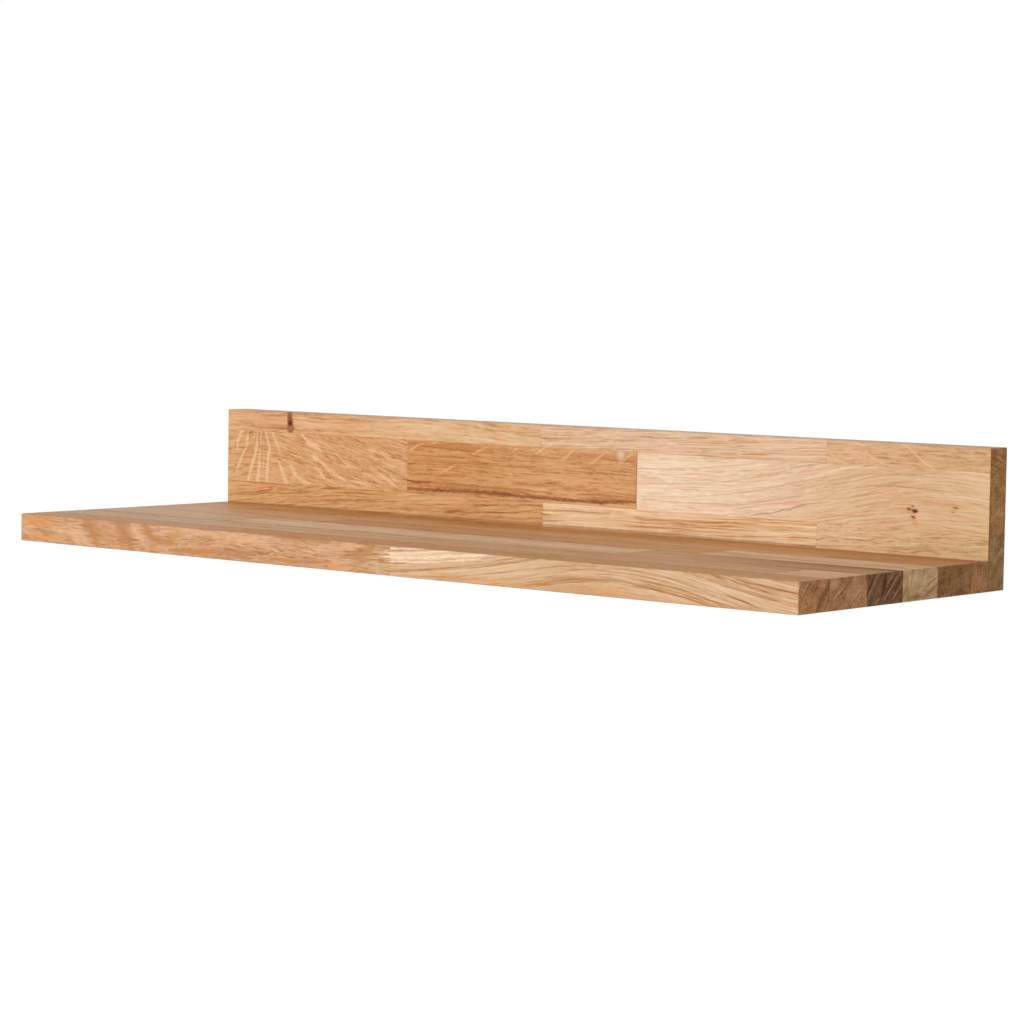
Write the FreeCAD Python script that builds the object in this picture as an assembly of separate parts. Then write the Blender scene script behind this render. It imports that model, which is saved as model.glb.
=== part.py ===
import FreeCAD, Part
import os

# A floating wall shelf of solid oak: a shelf board butted against the front of a low back board.
# Both boards are edge-glued panels of finger-jointed staves. The shelf hangs on two keyhole plates.
# Frame: +X along the length to the right, +Y towards the wall, +Z up. The wall touches the plane Y = 0.
# The origin is on that plane at mid length, on the line where the wall screws carry the shelf.

# Finished shelf
LENGTH = 750.0
DEPTH = 250.0
HEIGHT = 100.0
SHELF_THICKNESS = 21.5
BACK_THICKNESS = 21.5
EASED_EDGE = 0.8

# Rows of staves: the outer rows of each panel are ripped to width, and whole staves share the rest
FRONT_ROW_WIDTH = 35.0
REAR_ROW_WIDTH = 21.5
SHELF_WHOLE_ROWS = 4
TOP_ROW_WIDTH = 17.0
BOTTOM_ROW_WIDTH = 40.0
BACK_WHOLE_ROWS = 1

# End joints of each row, from the left end, as shares of the length
SHELF_JOINT_SHARES = ((0.53,), (0.49, 0.94), (0.21, 0.723), (0.273, 0.773), (0.37, 0.87), (0.33, 0.66))
BACK_JOINT_SHARES = ((0.461, 0.818), (0.275, 0.588), (0.465, 0.808))

# Finger joints between the staves of a row
FINGER_LENGTH = 12.0
FINGER_COUNT = 4
FINGER_ROOT_SHARE = 0.8
FINGER_TIP_SHARE = 0.2

# Dowels across the butt joint of the two boards
DOWEL_DIAMETER = 8.0
DOWEL_LENGTH = 40.0
DOWEL_IN_BACK = 12.0
DOWEL_CHAMFER = 0.8
DOWEL_CLEARANCE = 0.05
DOWEL_END_ROOM = 1.0
DOWEL_PLACE_SHARES = (0.06, 0.24, 0.42, 0.58, 0.76, 0.94)

# Keyhole hanger plates, flush in the rear of the back board
HANGER_SPACING = 500.0
HANGER_WIDTH = 48.0
HANGER_HEIGHT = 26.0
HANGER_THICKNESS = 1.5
HANGER_CORNER = 4.0
HANGER_CLEARANCE = 0.2
ENTRY_DIAMETER = 10.0
SLOT_WIDTH = 5.0
SLOT_TRAVEL = 9.0

# Room in the wood behind a plate for the head of the wall screw
HEAD_ROOM_WIDTH = 13.0
HEAD_ROOM_DEPTH = 9.0

# Countersunk screws that hold the plates
SCREW_SPACING = 36.0
SCREW_HEAD_DIAMETER = 6.6
SCREW_SHANK_DIAMETER = 3.2
SCREW_LENGTH = 14.0
SCREW_TIP_LENGTH = 3.0
SCREW_CLEARANCE = 0.05
DRIVE_LENGTH = 3.4
DRIVE_WIDTH = 0.9
DRIVE_DEPTH = 1.2

# How far a cutting shape runs past the wood that it cuts
OVERRUN = 5.0

# Heights and directions that the pieces share
SLOT_HEIGHT = (HEIGHT - TOP_ROW_WIDTH + BOTTOM_ROW_WIDTH + SLOT_TRAVEL) / 2
BOTTOM = -SLOT_HEIGHT
TOP = BOTTOM + HEIGHT
SHELF_TOP = BOTTOM + SHELF_THICKNESS
SHELF_FRONT = -DEPTH
BACK_FRONT = -BACK_THICKNESS
LEFT = -LENGTH / 2
RIGHT = LENGTH / 2
ALONG_X = FreeCAD.Vector(1, 0, 0)
TO_WALL = FreeCAD.Vector(0, 1, 0)
TO_FRONT = FreeCAD.Vector(0, -1, 0)


def save(name, shape):
    """Write one node's solid, or group of solids, under its name."""
    shape.exportStep(os.path.join("parts", name + ".step"))


def box(low, high):
    """Box between two opposite corners."""
    size = FreeCAD.Vector(*high) - FreeCAD.Vector(*low)
    return Part.makeBox(size.x, size.y, size.z, FreeCAD.Vector(*low))


def prism(points, travel):
    """Solid swept by a closed outline of points along one straight travel."""
    return Part.Face(Part.makePolygon(points + points[:1])).extrude(travel)


def turned(profile, place, axis):
    """Solid of revolution: a profile of (distance along the axis, radius) from a place on the axis."""
    across = FreeCAD.Vector(0, 0, 1)
    points = [place + axis * distance + across * radius for distance, radius in profile]
    return Part.Face(Part.makePolygon(points + points[:1])).revolve(place, axis, 360)


def cut_all(shape, tools):
    """Take from a shape every tool that reaches it."""
    for tool in tools:
        if shape.BoundBox.intersect(tool.BoundBox):
            shape = shape.cut(tool)
    return shape


def eased_blank():
    """Both boards as one L-shaped block with every outer edge eased, and the inner corner sharp."""
    outline = [
        (0, BOTTOM),
        (0, TOP),
        (BACK_FRONT, TOP),
        (BACK_FRONT, SHELF_TOP),
        (SHELF_FRONT, SHELF_TOP),
        (SHELF_FRONT, BOTTOM),
    ]
    block = prism([FreeCAD.Vector(LEFT, y, z) for y, z in outline], ALONG_X * LENGTH)
    corner = FreeCAD.Vector(0, BACK_FRONT, SHELF_TOP)
    inner = Part.makeLine(corner + ALONG_X * LEFT, corner + ALONG_X * RIGHT)
    outer = [edge for edge in block.Edges if not edge.CenterOfMass.isEqual(inner.CenterOfMass, EASED_EDGE)]
    return block.makeFillet(EASED_EDGE, outer)


def row_edges(width, first_width, last_width, whole_rows):
    """Edges of the rows across a panel: a ripped first row, whole staves of one width, a ripped last row."""
    stave_width = (width - first_width - last_width) / whole_rows
    edges = [first_width + number * stave_width for number in range(whole_rows + 1)]
    return [0] + edges + [width]


def finger_line(shoulder, face, thickness):
    """One end joint from face to face of a board, as (x, height) points: fingers point to the left."""
    pitch = thickness / (FINGER_COUNT + 1)
    root = pitch * FINGER_ROOT_SHARE / 2
    tip = pitch * FINGER_TIP_SHARE / 2
    points = [(shoulder, face - OVERRUN)]
    for number in range(FINGER_COUNT):
        middle = face + (number + 1) * pitch
        points.append((shoulder, middle - root))
        points.append((shoulder - FINGER_LENGTH, middle - tip))
        points.append((shoulder - FINGER_LENGTH, middle + tip))
        points.append((shoulder, middle + root))
    points.append((shoulder, face + thickness + OVERRUN))
    return points


def straight_line(x, face, thickness):
    """A row's outer end, just past the end of the board."""
    return [(x, face - OVERRUN), (x, face + thickness + OVERRUN)]


def stave_outlines(joint_shares, face, thickness):
    """Outlines of a row's staves seen on edge, from left to right, as lists of (x, height) points."""
    lines = [straight_line(LEFT - OVERRUN, face, thickness)]
    lines += [finger_line(LEFT + share * LENGTH, face, thickness) for share in joint_shares]
    lines.append(straight_line(RIGHT + OVERRUN, face, thickness))
    return [left + right[::-1] for left, right in zip(lines, lines[1:])]


def shelf_staves(blank, holes):
    """Staves of the shelf board, row by row from the front edge to the back board."""
    edges = row_edges(DEPTH - BACK_THICKNESS, FRONT_ROW_WIDTH, REAR_ROW_WIDTH, SHELF_WHOLE_ROWS)
    board = blank.common(box((LEFT, SHELF_FRONT, BOTTOM), (RIGHT, BACK_FRONT, SHELF_TOP)))
    for row, (front, rear) in enumerate(zip(edges, edges[1:])):
        joint_shares = SHELF_JOINT_SHARES[row % len(SHELF_JOINT_SHARES)]
        for number, outline in enumerate(stave_outlines(joint_shares, BOTTOM, SHELF_THICKNESS)):
            points = [FreeCAD.Vector(x, SHELF_FRONT + front, z) for x, z in outline]
            stave = board.common(prism(points, TO_WALL * (rear - front)))
            save("shelf_row%d_stave%d" % (row + 1, number + 1), cut_all(stave, holes))


def back_staves(blank, holes):
    """Staves of the back board, row by row from its top edge down."""
    edges = row_edges(HEIGHT, TOP_ROW_WIDTH, BOTTOM_ROW_WIDTH, BACK_WHOLE_ROWS)
    board = blank.common(box((LEFT, BACK_FRONT, BOTTOM), (RIGHT, 0, TOP)))
    for row, (upper, lower) in enumerate(zip(edges, edges[1:])):
        joint_shares = BACK_JOINT_SHARES[row % len(BACK_JOINT_SHARES)]
        for number, outline in enumerate(stave_outlines(joint_shares, BACK_FRONT, BACK_THICKNESS)):
            points = [FreeCAD.Vector(x, y, TOP - lower) for x, y in outline]
            stave = board.common(prism(points, FreeCAD.Vector(0, 0, lower - upper)))
            save("back_row%d_stave%d" % (row + 1, number + 1), cut_all(stave, holes))


def dowel_places():
    """Points where the dowels' axes cross the joint of the two boards, at half the shelf's thickness."""
    height = BOTTOM + SHELF_THICKNESS / 2
    return [FreeCAD.Vector(LEFT + share * LENGTH, BACK_FRONT, height) for share in DOWEL_PLACE_SHARES]


def dowel(place):
    """One dowel with chamfered ends."""
    radius = DOWEL_DIAMETER / 2
    profile = [
        (0, 0),
        (0, radius - DOWEL_CHAMFER),
        (DOWEL_CHAMFER, radius),
        (DOWEL_LENGTH - DOWEL_CHAMFER, radius),
        (DOWEL_LENGTH, radius - DOWEL_CHAMFER),
        (DOWEL_LENGTH, 0),
    ]
    return turned(profile, place + TO_WALL * DOWEL_IN_BACK, TO_FRONT)


def dowel_hole(place):
    """Hole for one dowel through the joint, with room for glue past both its ends."""
    start = place + TO_WALL * (DOWEL_IN_BACK + DOWEL_END_ROOM)
    length = DOWEL_LENGTH + 2 * DOWEL_END_ROOM
    return Part.makeCylinder(DOWEL_DIAMETER / 2 + DOWEL_CLEARANCE, length, start, TO_FRONT)


def hanger_places():
    """Slot ends of the two hanger plates, where the wall screws carry the shelf."""
    return [ALONG_X * (side * HANGER_SPACING / 2) for side in (-1, 1)]


def rounded_plate(place, room):
    """Plate outline around a slot end, enlarged by some room all round, as thick as the hanger plate."""
    middle = place - FreeCAD.Vector(0, 0, SLOT_TRAVEL / 2)
    half = FreeCAD.Vector(HANGER_WIDTH / 2 + room, 0, HANGER_HEIGHT / 2 + room)
    low = middle - half - FreeCAD.Vector(0, HANGER_THICKNESS, 0)
    blank = box(low, middle + half)
    corners = [edge for edge in blank.Edges if abs(edge.tangentAt(edge.FirstParameter).y) > 0]
    return blank.makeFillet(HANGER_CORNER + room, corners)


def upright_slot(place, width, depth):
    """Round-ended slot from the entry hole up to the slot end, cut in from the wall side."""
    start = place + TO_WALL * OVERRUN
    length = depth + OVERRUN
    foot = start - FreeCAD.Vector(width / 2, length, SLOT_TRAVEL)
    middle = Part.makeBox(width, length, SLOT_TRAVEL, foot)
    upper = Part.makeCylinder(width / 2, length, start, TO_FRONT)
    lower = Part.makeCylinder(width / 2, length, start - FreeCAD.Vector(0, 0, SLOT_TRAVEL), TO_FRONT)
    return middle.fuse([upper, lower])


def entry_hole(place):
    """Round hole under the slot that the wall screw's head goes through."""
    start = place + TO_WALL * OVERRUN - FreeCAD.Vector(0, 0, SLOT_TRAVEL)
    return Part.makeCylinder(ENTRY_DIAMETER / 2, HANGER_THICKNESS + 2 * OVERRUN, start, TO_FRONT)


def screw_places(place):
    """Two screw places of one hanger plate, left and right of its keyhole."""
    middle = place - FreeCAD.Vector(0, 0, SLOT_TRAVEL / 2)
    return [middle + ALONG_X * (side * SCREW_SPACING / 2) for side in (-1, 1)]


def screw_body(place, room):
    """Countersunk screw from its flat head on the wall plane, enlarged by some room all round."""
    head = SCREW_HEAD_DIAMETER / 2
    shank = SCREW_SHANK_DIAMETER / 2
    profile = [
        (0, 0),
        (0, head + room),
        (head - shank, shank + room),
        (SCREW_LENGTH - SCREW_TIP_LENGTH, shank + room),
        (SCREW_LENGTH + room, 0),
    ]
    return turned(profile, place, TO_FRONT)


def screw(place):
    """Countersunk screw with a cross drive in its head."""
    long_half = DRIVE_LENGTH / 2
    short_half = DRIVE_WIDTH / 2
    body = screw_body(place, 0)
    for across, up in ((long_half, short_half), (short_half, long_half)):
        low = place - FreeCAD.Vector(across, DRIVE_DEPTH, up)
        high = place + FreeCAD.Vector(across, OVERRUN, up)
        body = body.cut(box(low, high))
    return body


def hanger_plate(place):
    """Flat steel plate with a keyhole and two countersunk holes."""
    holes = [screw_body(spot, SCREW_CLEARANCE) for spot in screw_places(place)]
    keyhole = [entry_hole(place), upright_slot(place, SLOT_WIDTH, HANGER_THICKNESS + OVERRUN)]
    return cut_all(rounded_plate(place, 0), holes + keyhole)


def hanger_recess(place):
    """Wood that is cut away for one plate, its screws and the head of the wall screw."""
    head_room = upright_slot(place, HEAD_ROOM_WIDTH, HANGER_THICKNESS + HEAD_ROOM_DEPTH)
    holes = [screw_body(spot, SCREW_CLEARANCE) for spot in screw_places(place)]
    return [rounded_plate(place, HANGER_CLEARANCE), head_room] + holes


def main():
    """Make every piece and write it."""
    os.makedirs("parts", exist_ok=True)
    blank = eased_blank()
    dowel_holes = [dowel_hole(place) for place in dowel_places()]
    recesses = [tool for place in hanger_places() for tool in hanger_recess(place)]
    shelf_staves(blank, dowel_holes)
    back_staves(blank, dowel_holes + recesses)
    save("joint_dowels", Part.makeCompound([dowel(place) for place in dowel_places()]))
    for side, place in zip(("left", "right"), hanger_places()):
        save("hanger_plate_" + side, hanger_plate(place))
    spots = [spot for place in hanger_places() for spot in screw_places(place)]
    save("hanger_screws", Part.makeCompound([screw(spot) for spot in spots]))


main()
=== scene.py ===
import logging
import math
from dataclasses import dataclass
from enum import Enum
from functools import reduce
from typing import Callable, Union

import bpy
import numpy as np
from mathutils import Matrix, Vector


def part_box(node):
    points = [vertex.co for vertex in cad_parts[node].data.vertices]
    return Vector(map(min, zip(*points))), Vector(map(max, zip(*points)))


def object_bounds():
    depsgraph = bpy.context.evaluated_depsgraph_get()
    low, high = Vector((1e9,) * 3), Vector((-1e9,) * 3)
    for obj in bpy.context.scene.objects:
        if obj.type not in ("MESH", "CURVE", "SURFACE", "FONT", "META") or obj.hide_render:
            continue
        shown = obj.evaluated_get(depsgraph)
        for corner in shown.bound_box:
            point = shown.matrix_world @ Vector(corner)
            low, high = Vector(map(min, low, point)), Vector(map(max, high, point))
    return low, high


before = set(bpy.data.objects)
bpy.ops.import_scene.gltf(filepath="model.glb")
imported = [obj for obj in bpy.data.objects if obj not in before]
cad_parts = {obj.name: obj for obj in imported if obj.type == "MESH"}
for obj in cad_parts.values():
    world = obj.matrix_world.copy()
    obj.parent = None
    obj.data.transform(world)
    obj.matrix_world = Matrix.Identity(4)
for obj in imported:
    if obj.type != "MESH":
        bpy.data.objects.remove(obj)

# Looks of a floating wall shelf: a shelf board and a low back board of finger-jointed, oiled oak staves.
# All lengths in the oak finishes are millimetres in the part's own frame: x along the length from its middle,
# y towards the wall with 0 at the rear face, z up from the line of the wall screws.

CAD_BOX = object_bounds()
MM_PER_M = 1000.0
LOG = logging.getLogger("shelf")

Rgb = tuple[float, float, float]
Rgba = tuple[float, float, float, float]
Point = tuple[float, float]
Spot = tuple[float, float, float]
Triple = tuple[float, float, float]
Input = Union["Wire", float, tuple]

# Curve of a display's channels, and plain white

CURVE_OFFSET = 0.055
CURVE_POWER = 2.4
CURVE_KNEE = 0.04045
CURVE_SLOPE = 12.92
WHITE: Rgba = (1.0, 1.0, 1.0, 1.0)

# Middle of a noise, and how rough its finer layers are

MIDDLE = 0.5
NOISE_ROUGHNESS = 0.55


def linear(tone: Rgb) -> Rgb:
    """Turn a display colour of 0 to 255 into the linear colour that a shader takes.

    Args:
        tone: Red, green and blue as they show on a screen.

    Returns:
        Linear red, green and blue from 0 to 1.
    """
    shares = np.asarray(tone, float) / 255.0
    curved = ((shares + CURVE_OFFSET) / (1.0 + CURVE_OFFSET)) ** CURVE_POWER
    return tuple(np.where(shares <= CURVE_KNEE, shares / CURVE_SLOPE, curved).tolist())


def tinted(tone: Rgb, factors: Rgb = (1.0, 1.0, 1.0)) -> Rgba:
    """Linear colour of a display tone with each channel multiplied by a factor, with full alpha."""
    return (*[min(1.0, part * factor) for part, factor in zip(linear(tone), factors)], 1.0)


# Shader graphs as expressions


def joined(operation: str, turned: bool = False) -> Callable[["Wire", Input], "Wire"]:
    """Make one operator of wires.

    Args:
        operation: Blender's name of the operation.
        turned: Whether the other operand stands in front.

    Returns:
        The operator. It adds a Math node for values, and a Vector Math node for vectors and colours.
    """
    def join(wire: "Wire", other: Input) -> "Wire":
        """Add the operator's node.

        Args:
            wire: The wire whose operator it is.
            other: The other operand.

        Returns:
            The node's output.
        """
        sides = (other, wire) if turned else (wire, other)
        if wire.socket.type not in ("VECTOR", "RGBA"):
            return wire.graph.math(operation, *sides)
        full = [(side,) * 3 if isinstance(side, (int, float)) else side for side in sides]
        return wire.graph.node("ShaderNodeVectorMath", {"operation": operation}, dict(enumerate(full)))

    return join


@dataclass(frozen=True)
class Wire:
    """One output of a shader graph that takes part in Python expressions."""

    graph: "Graph"
    socket: bpy.types.NodeSocket

    __add__ = joined("ADD")
    __radd__ = joined("ADD", turned=True)
    __sub__ = joined("SUBTRACT")
    __rsub__ = joined("SUBTRACT", turned=True)
    __mul__ = joined("MULTIPLY")
    __rmul__ = joined("MULTIPLY", turned=True)
    __truediv__ = joined("DIVIDE")
    __pow__ = joined("POWER")
    least = joined("MINIMUM")
    most = joined("MAXIMUM")

    def __abs__(self) -> "Wire":
        """Size without sign."""
        return self.graph.math("ABSOLUTE", self)


class Graph:
    """The node graph of one material or of the world."""

    def __init__(self, tree: bpy.types.NodeTree) -> None:
        """Start with an empty graph.

        Args:
            tree: The node tree of a material or world.
        """
        self.tree = tree
        tree.nodes.clear()

    def node(self, kind: str, settings: dict | None = None, inputs: dict | None = None,
             output: int | str = 0) -> Wire | None:
        """Add one node of any kind.

        Args:
            kind: Blender's name of the node's type.
            settings: Attributes to set first. The stops of a colour ramp are (place, colour) pairs.
            inputs: Socket names or numbers with their links or plain values.
            output: Name or number of the output to return.

        Returns:
            The chosen output, or nothing from a node without outputs.
        """
        made = self.tree.nodes.new(kind)
        for name, value in (settings or {}).items():
            if name == "stops":
                self._set_stops(made.color_ramp, value)
            else:
                setattr(made, name, value)
        for key, value in (inputs or {}).items():
            if isinstance(value, Wire):
                self.tree.links.new(value.socket, made.inputs[key])
            else:
                made.inputs[key].default_value = value
        return Wire(self, made.outputs[output]) if made.outputs else None

    @staticmethod
    def _set_stops(ramp: bpy.types.ColorRamp, stops: tuple) -> None:
        """Give a colour ramp its stops.

        Args:
            ramp: The ramp.
            stops: Pairs of a place from 0 to 1 and a colour.
        """
        while len(ramp.elements) < len(stops):
            ramp.elements.new(1.0)
        for element, (place, colour) in zip(ramp.elements, stops):
            element.position = place
            element.color = colour

    def math(self, operation: str, *values: Input) -> Wire:
        """One Math node."""
        return self.node("ShaderNodeMath", {"operation": operation}, dict(enumerate(values)))

    def ease(self, value: Wire, start: float, stop: float) -> Wire:
        """Smooth step from 0 at start to 1 at stop, where stop may be the smaller one."""
        ends = {"Value": value, "From Min": start, "From Max": stop}
        return self.node("ShaderNodeMapRange", {"interpolation_type": "SMOOTHSTEP"}, ends)

    def join(self, x: Input, y: Input, z: Input) -> Wire:
        """Vector of three values."""
        return self.node("ShaderNodeCombineXYZ", {}, {0: x, 1: y, 2: z})

    def split(self, vector: Wire) -> tuple[Wire, Wire, Wire]:
        """The three values of a vector."""
        first = self.node("ShaderNodeSeparateXYZ", {}, {0: vector})
        return tuple(Wire(self, socket) for socket in first.socket.node.outputs)

    def dot(self, vector: Wire, direction: Vector) -> Wire:
        """Product of a vector with a fixed direction."""
        settings = {"operation": "DOT_PRODUCT"}
        return self.node("ShaderNodeVectorMath", settings, {0: vector, 1: tuple(direction)}, "Value")

    def noise(self, vector: Wire, detail: float = 1.0, output: str = "Fac") -> Wire:
        """Soft noise with one cell per unit of the vector, from 0 to 1 about its middle."""
        inputs = {"Vector": vector, "Scale": 1.0, "Detail": detail, "Roughness": NOISE_ROUGHNESS}
        return self.node("ShaderNodeTexNoise", {}, inputs, output)

    def mix(self, factor: Input, first: Input, second: Input) -> Wire:
        """Colour between two colours."""
        settings = {"data_type": "RGBA"}
        return self.node("ShaderNodeMix", settings, {0: factor, 6: first, 7: second}, 2)

    def place(self) -> Wire:
        """Place on the piece in millimetres of the part's frame."""
        return self.node("ShaderNodeTexCoord", {}, {}, "Object") * MM_PER_M

    def ray(self, kind: str) -> Wire:
        """1 for rays of one kind, and 0 for other light."""
        return self.node("ShaderNodeLightPath", {}, {}, kind)

    def seen(self) -> Wire:
        """1 for rays from the camera and rays through glass, and 0 for other light."""
        return self.ray("Is Camera Ray").most(self.ray("Is Transmission Ray"))

    def bump(self, height: Wire, strength: float, depth: float) -> Wire:
        """Relief of a height of about 0 to 1, with its depth in metres."""
        return self.node("ShaderNodeBump", {}, {"Strength": strength, "Distance": depth, "Height": height})

    def surface(self, inputs: dict) -> None:
        """End the graph of a material in one Principled shader.

        Args:
            inputs: Socket names of the shader with their links or plain values.
        """
        shader = self.node("ShaderNodeBsdfPrincipled", {}, inputs)
        self.node("ShaderNodeOutputMaterial", {}, {"Surface": shader})


class Finish:
    """What a material is made from."""

    def build(self, name: str) -> bpy.types.Material:
        """Make the material.

        Args:
            name: The material's name.

        Returns:
            The finished material.
        """
        material = bpy.data.materials.new(name)
        material.use_nodes = True
        self.draw(Graph(material.node_tree))
        return material

    def draw(self, graph: Graph) -> None:
        """Lay the finish out in an empty graph."""
        raise NotImplementedError


# Figure of the wood


class Face(Enum):
    """The plane that a drawn mark lies in, as the two frame axes that it uses."""

    FRONT = (0, 2)
    TOP = (0, 1)
    END = (1, 2)

    def lift(self, first: float, second: float) -> Vector:
        """Put two values of the face on their frame axes, with zero on the third."""
        values = {self.value[0]: first, self.value[1]: second}
        return Vector([values.get(axis, 0.0) for axis in range(3)])


@dataclass(frozen=True)
class Stroke:
    """A straight mark in mm between two points of a face, pointed at its ends and widest at its middle."""

    start: Point
    end: Point
    width: float

    def reach(self, place: Wire, face: Face) -> Wire:
        """Measure out from the mark's middle line, with 1 at its edge.

        The mark is an ellipse. The offset from its middle is taken along its run over half its length, and
        across its run over half its width. The sum of their squares is the square of the reach.

        Args:
            place: Place in the plane of the face in mm.
            face: The face.

        Returns:
            The reach of each place.
        """
        graph = place.graph
        start, end = face.lift(*self.start), face.lift(*self.end)
        along = (end - start) / 2.0
        first, second = (along[axis] for axis in face.value)
        side = face.lift(-second, first).normalized() / (self.width / 2.0)
        offset = place - tuple((start + end) / 2.0)
        far = graph.dot(offset, along / along.length_squared)
        wide = graph.dot(offset, side)
        return graph.math("SQRT", far * far + wide * wide)


class Trail:
    """A bent mark in mm through points of a face, each given with the mark's width there.

    Attributes:
        pointed: Share of the width that is left at the two ends.
        spots: The points in order, each with the mark's width.
    """

    pointed: float = 0.4

    def __init__(self, *spots: Spot) -> None:
        """Draw in the two ends, and put a point between two that stand alone.

        Args:
            spots: The points in order, each with the mark's width.
        """
        self.spots = list(spots)
        if len(spots) == 2:
            self.spots.insert(1, tuple(np.mean(spots, axis=0).tolist()))
        for end in (0, -1):
            self.spots[end] = (*self.spots[end][:2], self.spots[end][2] * self.pointed)

    def reach(self, place: Wire, face: Face) -> Wire:
        """Measure out from the mark's middle line, with 1 at its edge.

        On each straight stretch, the share of the way along it, held from 0 to 1, gives the nearest point and
        the width there. The reach is the distance to that point over half that width. The smallest counts.

        Args:
            place: Place in the plane of the face in mm.
            face: The face.

        Returns:
            The reach of each place.
        """
        pairs = zip(self.spots, self.spots[1:])
        return reduce(Wire.least, (self._stretch(place, face, *pair) for pair in pairs))

    @staticmethod
    def _stretch(place: Wire, face: Face, first: Spot, last: Spot) -> Wire:
        """Measure out from one straight stretch of the trail.

        Args:
            place: Place in the plane of the face in mm.
            face: The face.
            first: Start of the stretch and the width there.
            last: End of the stretch and the width there.

        Returns:
            The reach of each place.
        """
        graph = place.graph
        origin = face.lift(*first[:2])
        run = face.lift(*last[:2]) - origin
        axis = run / run.length_squared
        share = graph.node("ShaderNodeMath", {"operation": "SUBTRACT", "use_clamp": True},
                           {0: graph.dot(place, axis), 1: origin.dot(axis)})
        nearest = graph.node("ShaderNodeVectorMath", {"operation": "MULTIPLY_ADD"},
                             {0: graph.join(share, share, share), 1: tuple(run), 2: tuple(origin)})
        away = graph.node("ShaderNodeVectorMath", {"operation": "DISTANCE"}, {0: place, 1: nearest}, "Value")
        return away / graph.math("MULTIPLY_ADD", share, (last[2] - first[2]) / 2.0, first[2] / 2.0)


class Figure:
    """Marks of one kind on one stave."""

    def __init__(self, *marks: Stroke | Trail, strength: float, tone: Rgb, face: Face = Face.FRONT,
                 sway: float = 1.0, soft: float = 1.0, frayed: float = 1.0) -> None:
        """Keep the marks and how they show.

        Args:
            marks: The marks.
            strength: How strongly they show, from 0 to 1.
            tone: The display colour of the marks.
            face: The plane that they are drawn in.
            sway: How far the marks wander from their drawn lines, in mm.
            soft: Share of a mark's width over which it fades.
            frayed: How ragged the fibres make the marks.
        """
        self.marks, self.strength, self.tone, self.face = marks, strength, tone, face
        self.sway, self.soft, self.frayed = sway, soft, frayed

    def mask(self, place: Wire, wander: Wire, fray: Wire) -> Wire:
        """Show the marks as 1 and the plain wood as 0.

        Args:
            place: Place on the stave in mm.
            wander: Slow random shift, about 1 mm to either side.
            fray: Fine noise along the fibres about 0, added to the reach.

        Returns:
            The strongest mark at each place.
        """
        flat = (place + wander * self.sway) * tuple(self.face.lift(1.0, 1.0))
        nearest = reduce(Wire.least, (mark.reach(flat, self.face) for mark in self.marks))
        return place.graph.ease(nearest + fray * self.frayed, 1.0, 1.0 - self.soft)


@dataclass(frozen=True)
class Arch:
    """A swell of the grain lines, as a bell curve along the length, in mm.

    Attributes:
        middle: Where the swell is highest along the length.
        spread: How far it runs to either side.
        across: How far it lifts the lines across the stave.
        through: How far it lifts them through the stave.
    """

    middle: float
    spread: float
    across: float = 0.0
    through: float = 0.0


@dataclass(frozen=True)
class Grain:
    """How one oak stave was cut from its tree, and its colour.

    Attributes:
        tone: Display colour of the stave under plain light.
        fade_tone: Display colour at the right end, where it differs from the left.
        shaded_top_tone: Display colour of the upper face where it differs from the front, painted shade
            against its sheen.
        end_tone: Display colour of its end grain.
        seed: Moves the noise, so that no two staves are alike.
        pith: Where the tree's middle lay from the stave's middle, across the stave and through it, in mm.
        ring: Width of a year ring in mm.
        tilt: Slope of the grain lines across the stave and through it, in mm per mm of length.
        arch: Swell of the grain lines, if any.
        wave: How far the grain lines wander, in mm.
        lines: How strongly the year rings show.
        even: How alike the year rings are, from 0 to 1.
        end_lines: How strongly the year rings show on the end grain.
        saw: How strongly saw marks show on the end grain.
        pores: How strongly the pores show.
        rays: How strongly the small medullary rays show.
        mottle: How much the tone varies over the stave.
        fine: How strongly the fine streaks show.
        run: Length of the streaks as a share of the usual.
        fibre: Width of the fine streaks in mm.
        figures: Marks that this stave has, painted shade among them.
    """

    tone: Rgb
    fade_tone: Rgb | None = None
    shaded_top_tone: Rgb | None = None
    end_tone: Rgb = (165, 122, 82)
    seed: float = 0.0
    pith: Point = (45.0, -60.0)
    ring: float = 3.6
    tilt: Point = (0.0, 0.0)
    arch: Arch | None = None
    wave: float = 1.0
    lines: float = 0.36
    even: float = 0.1
    end_lines: float = 0.3
    saw: float = 0.25
    pores: float = 0.3
    rays: float = 0.12
    mottle: float = 0.5
    fine: float = 0.5
    run: float = 1.0
    fibre: float = 1.4
    figures: tuple[Figure, ...] = ()


# Colours of all staves: factors of the tone from deep to pale, and of its redder and yellower wood

FACE_LEVELS: tuple[Rgb, Rgb, Rgb] = ((0.60, 0.40, 0.20), (1.0, 1.0, 1.0), (1.17, 1.34, 1.62))
END_LEVELS: tuple[Rgb, Rgb, Rgb] = ((0.42, 0.27, 0.12), (1.0, 1.0, 1.0), (1.60, 1.90, 2.35))
RED_FACTORS: Rgb = (1.02, 0.97, 0.93)
YELLOW_FACTORS: Rgb = (0.985, 1.02, 0.98)

# Joints, and how far in mm the glue lines and the looks of a face reach

FINGER_LENGTH = 12.0
OUTSIDE_GAP = 1.0
GLUE_DEPTH = 0.1
GLUE_EDGE: Point = (0.5, 0.15)
MARK_DEPTH = 8.0
TOP_EDGE: Point = (0.12, 0.02)
END_EDGE: Point = (0.5, 0.1)

# Layers of the wander of the grain lines: length and width of their cells and their reach, in mm

WANDER_LAYERS: tuple[Spot, ...] = ((150.0, 40.0, 9.0), (45.0, 10.0, 3.8), (12.0, 3.0, 1.5))

# Year rings: the drift of their width in rings, its run in mm of length, and how fast a dark start falls off

RING_DRIFT = 3.5
RING_RUN = 500.0
RING_FALL = 2.2

# Fields of all staves: length and width of a cell in mm, or cells per mm, and steps from none to full

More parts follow.
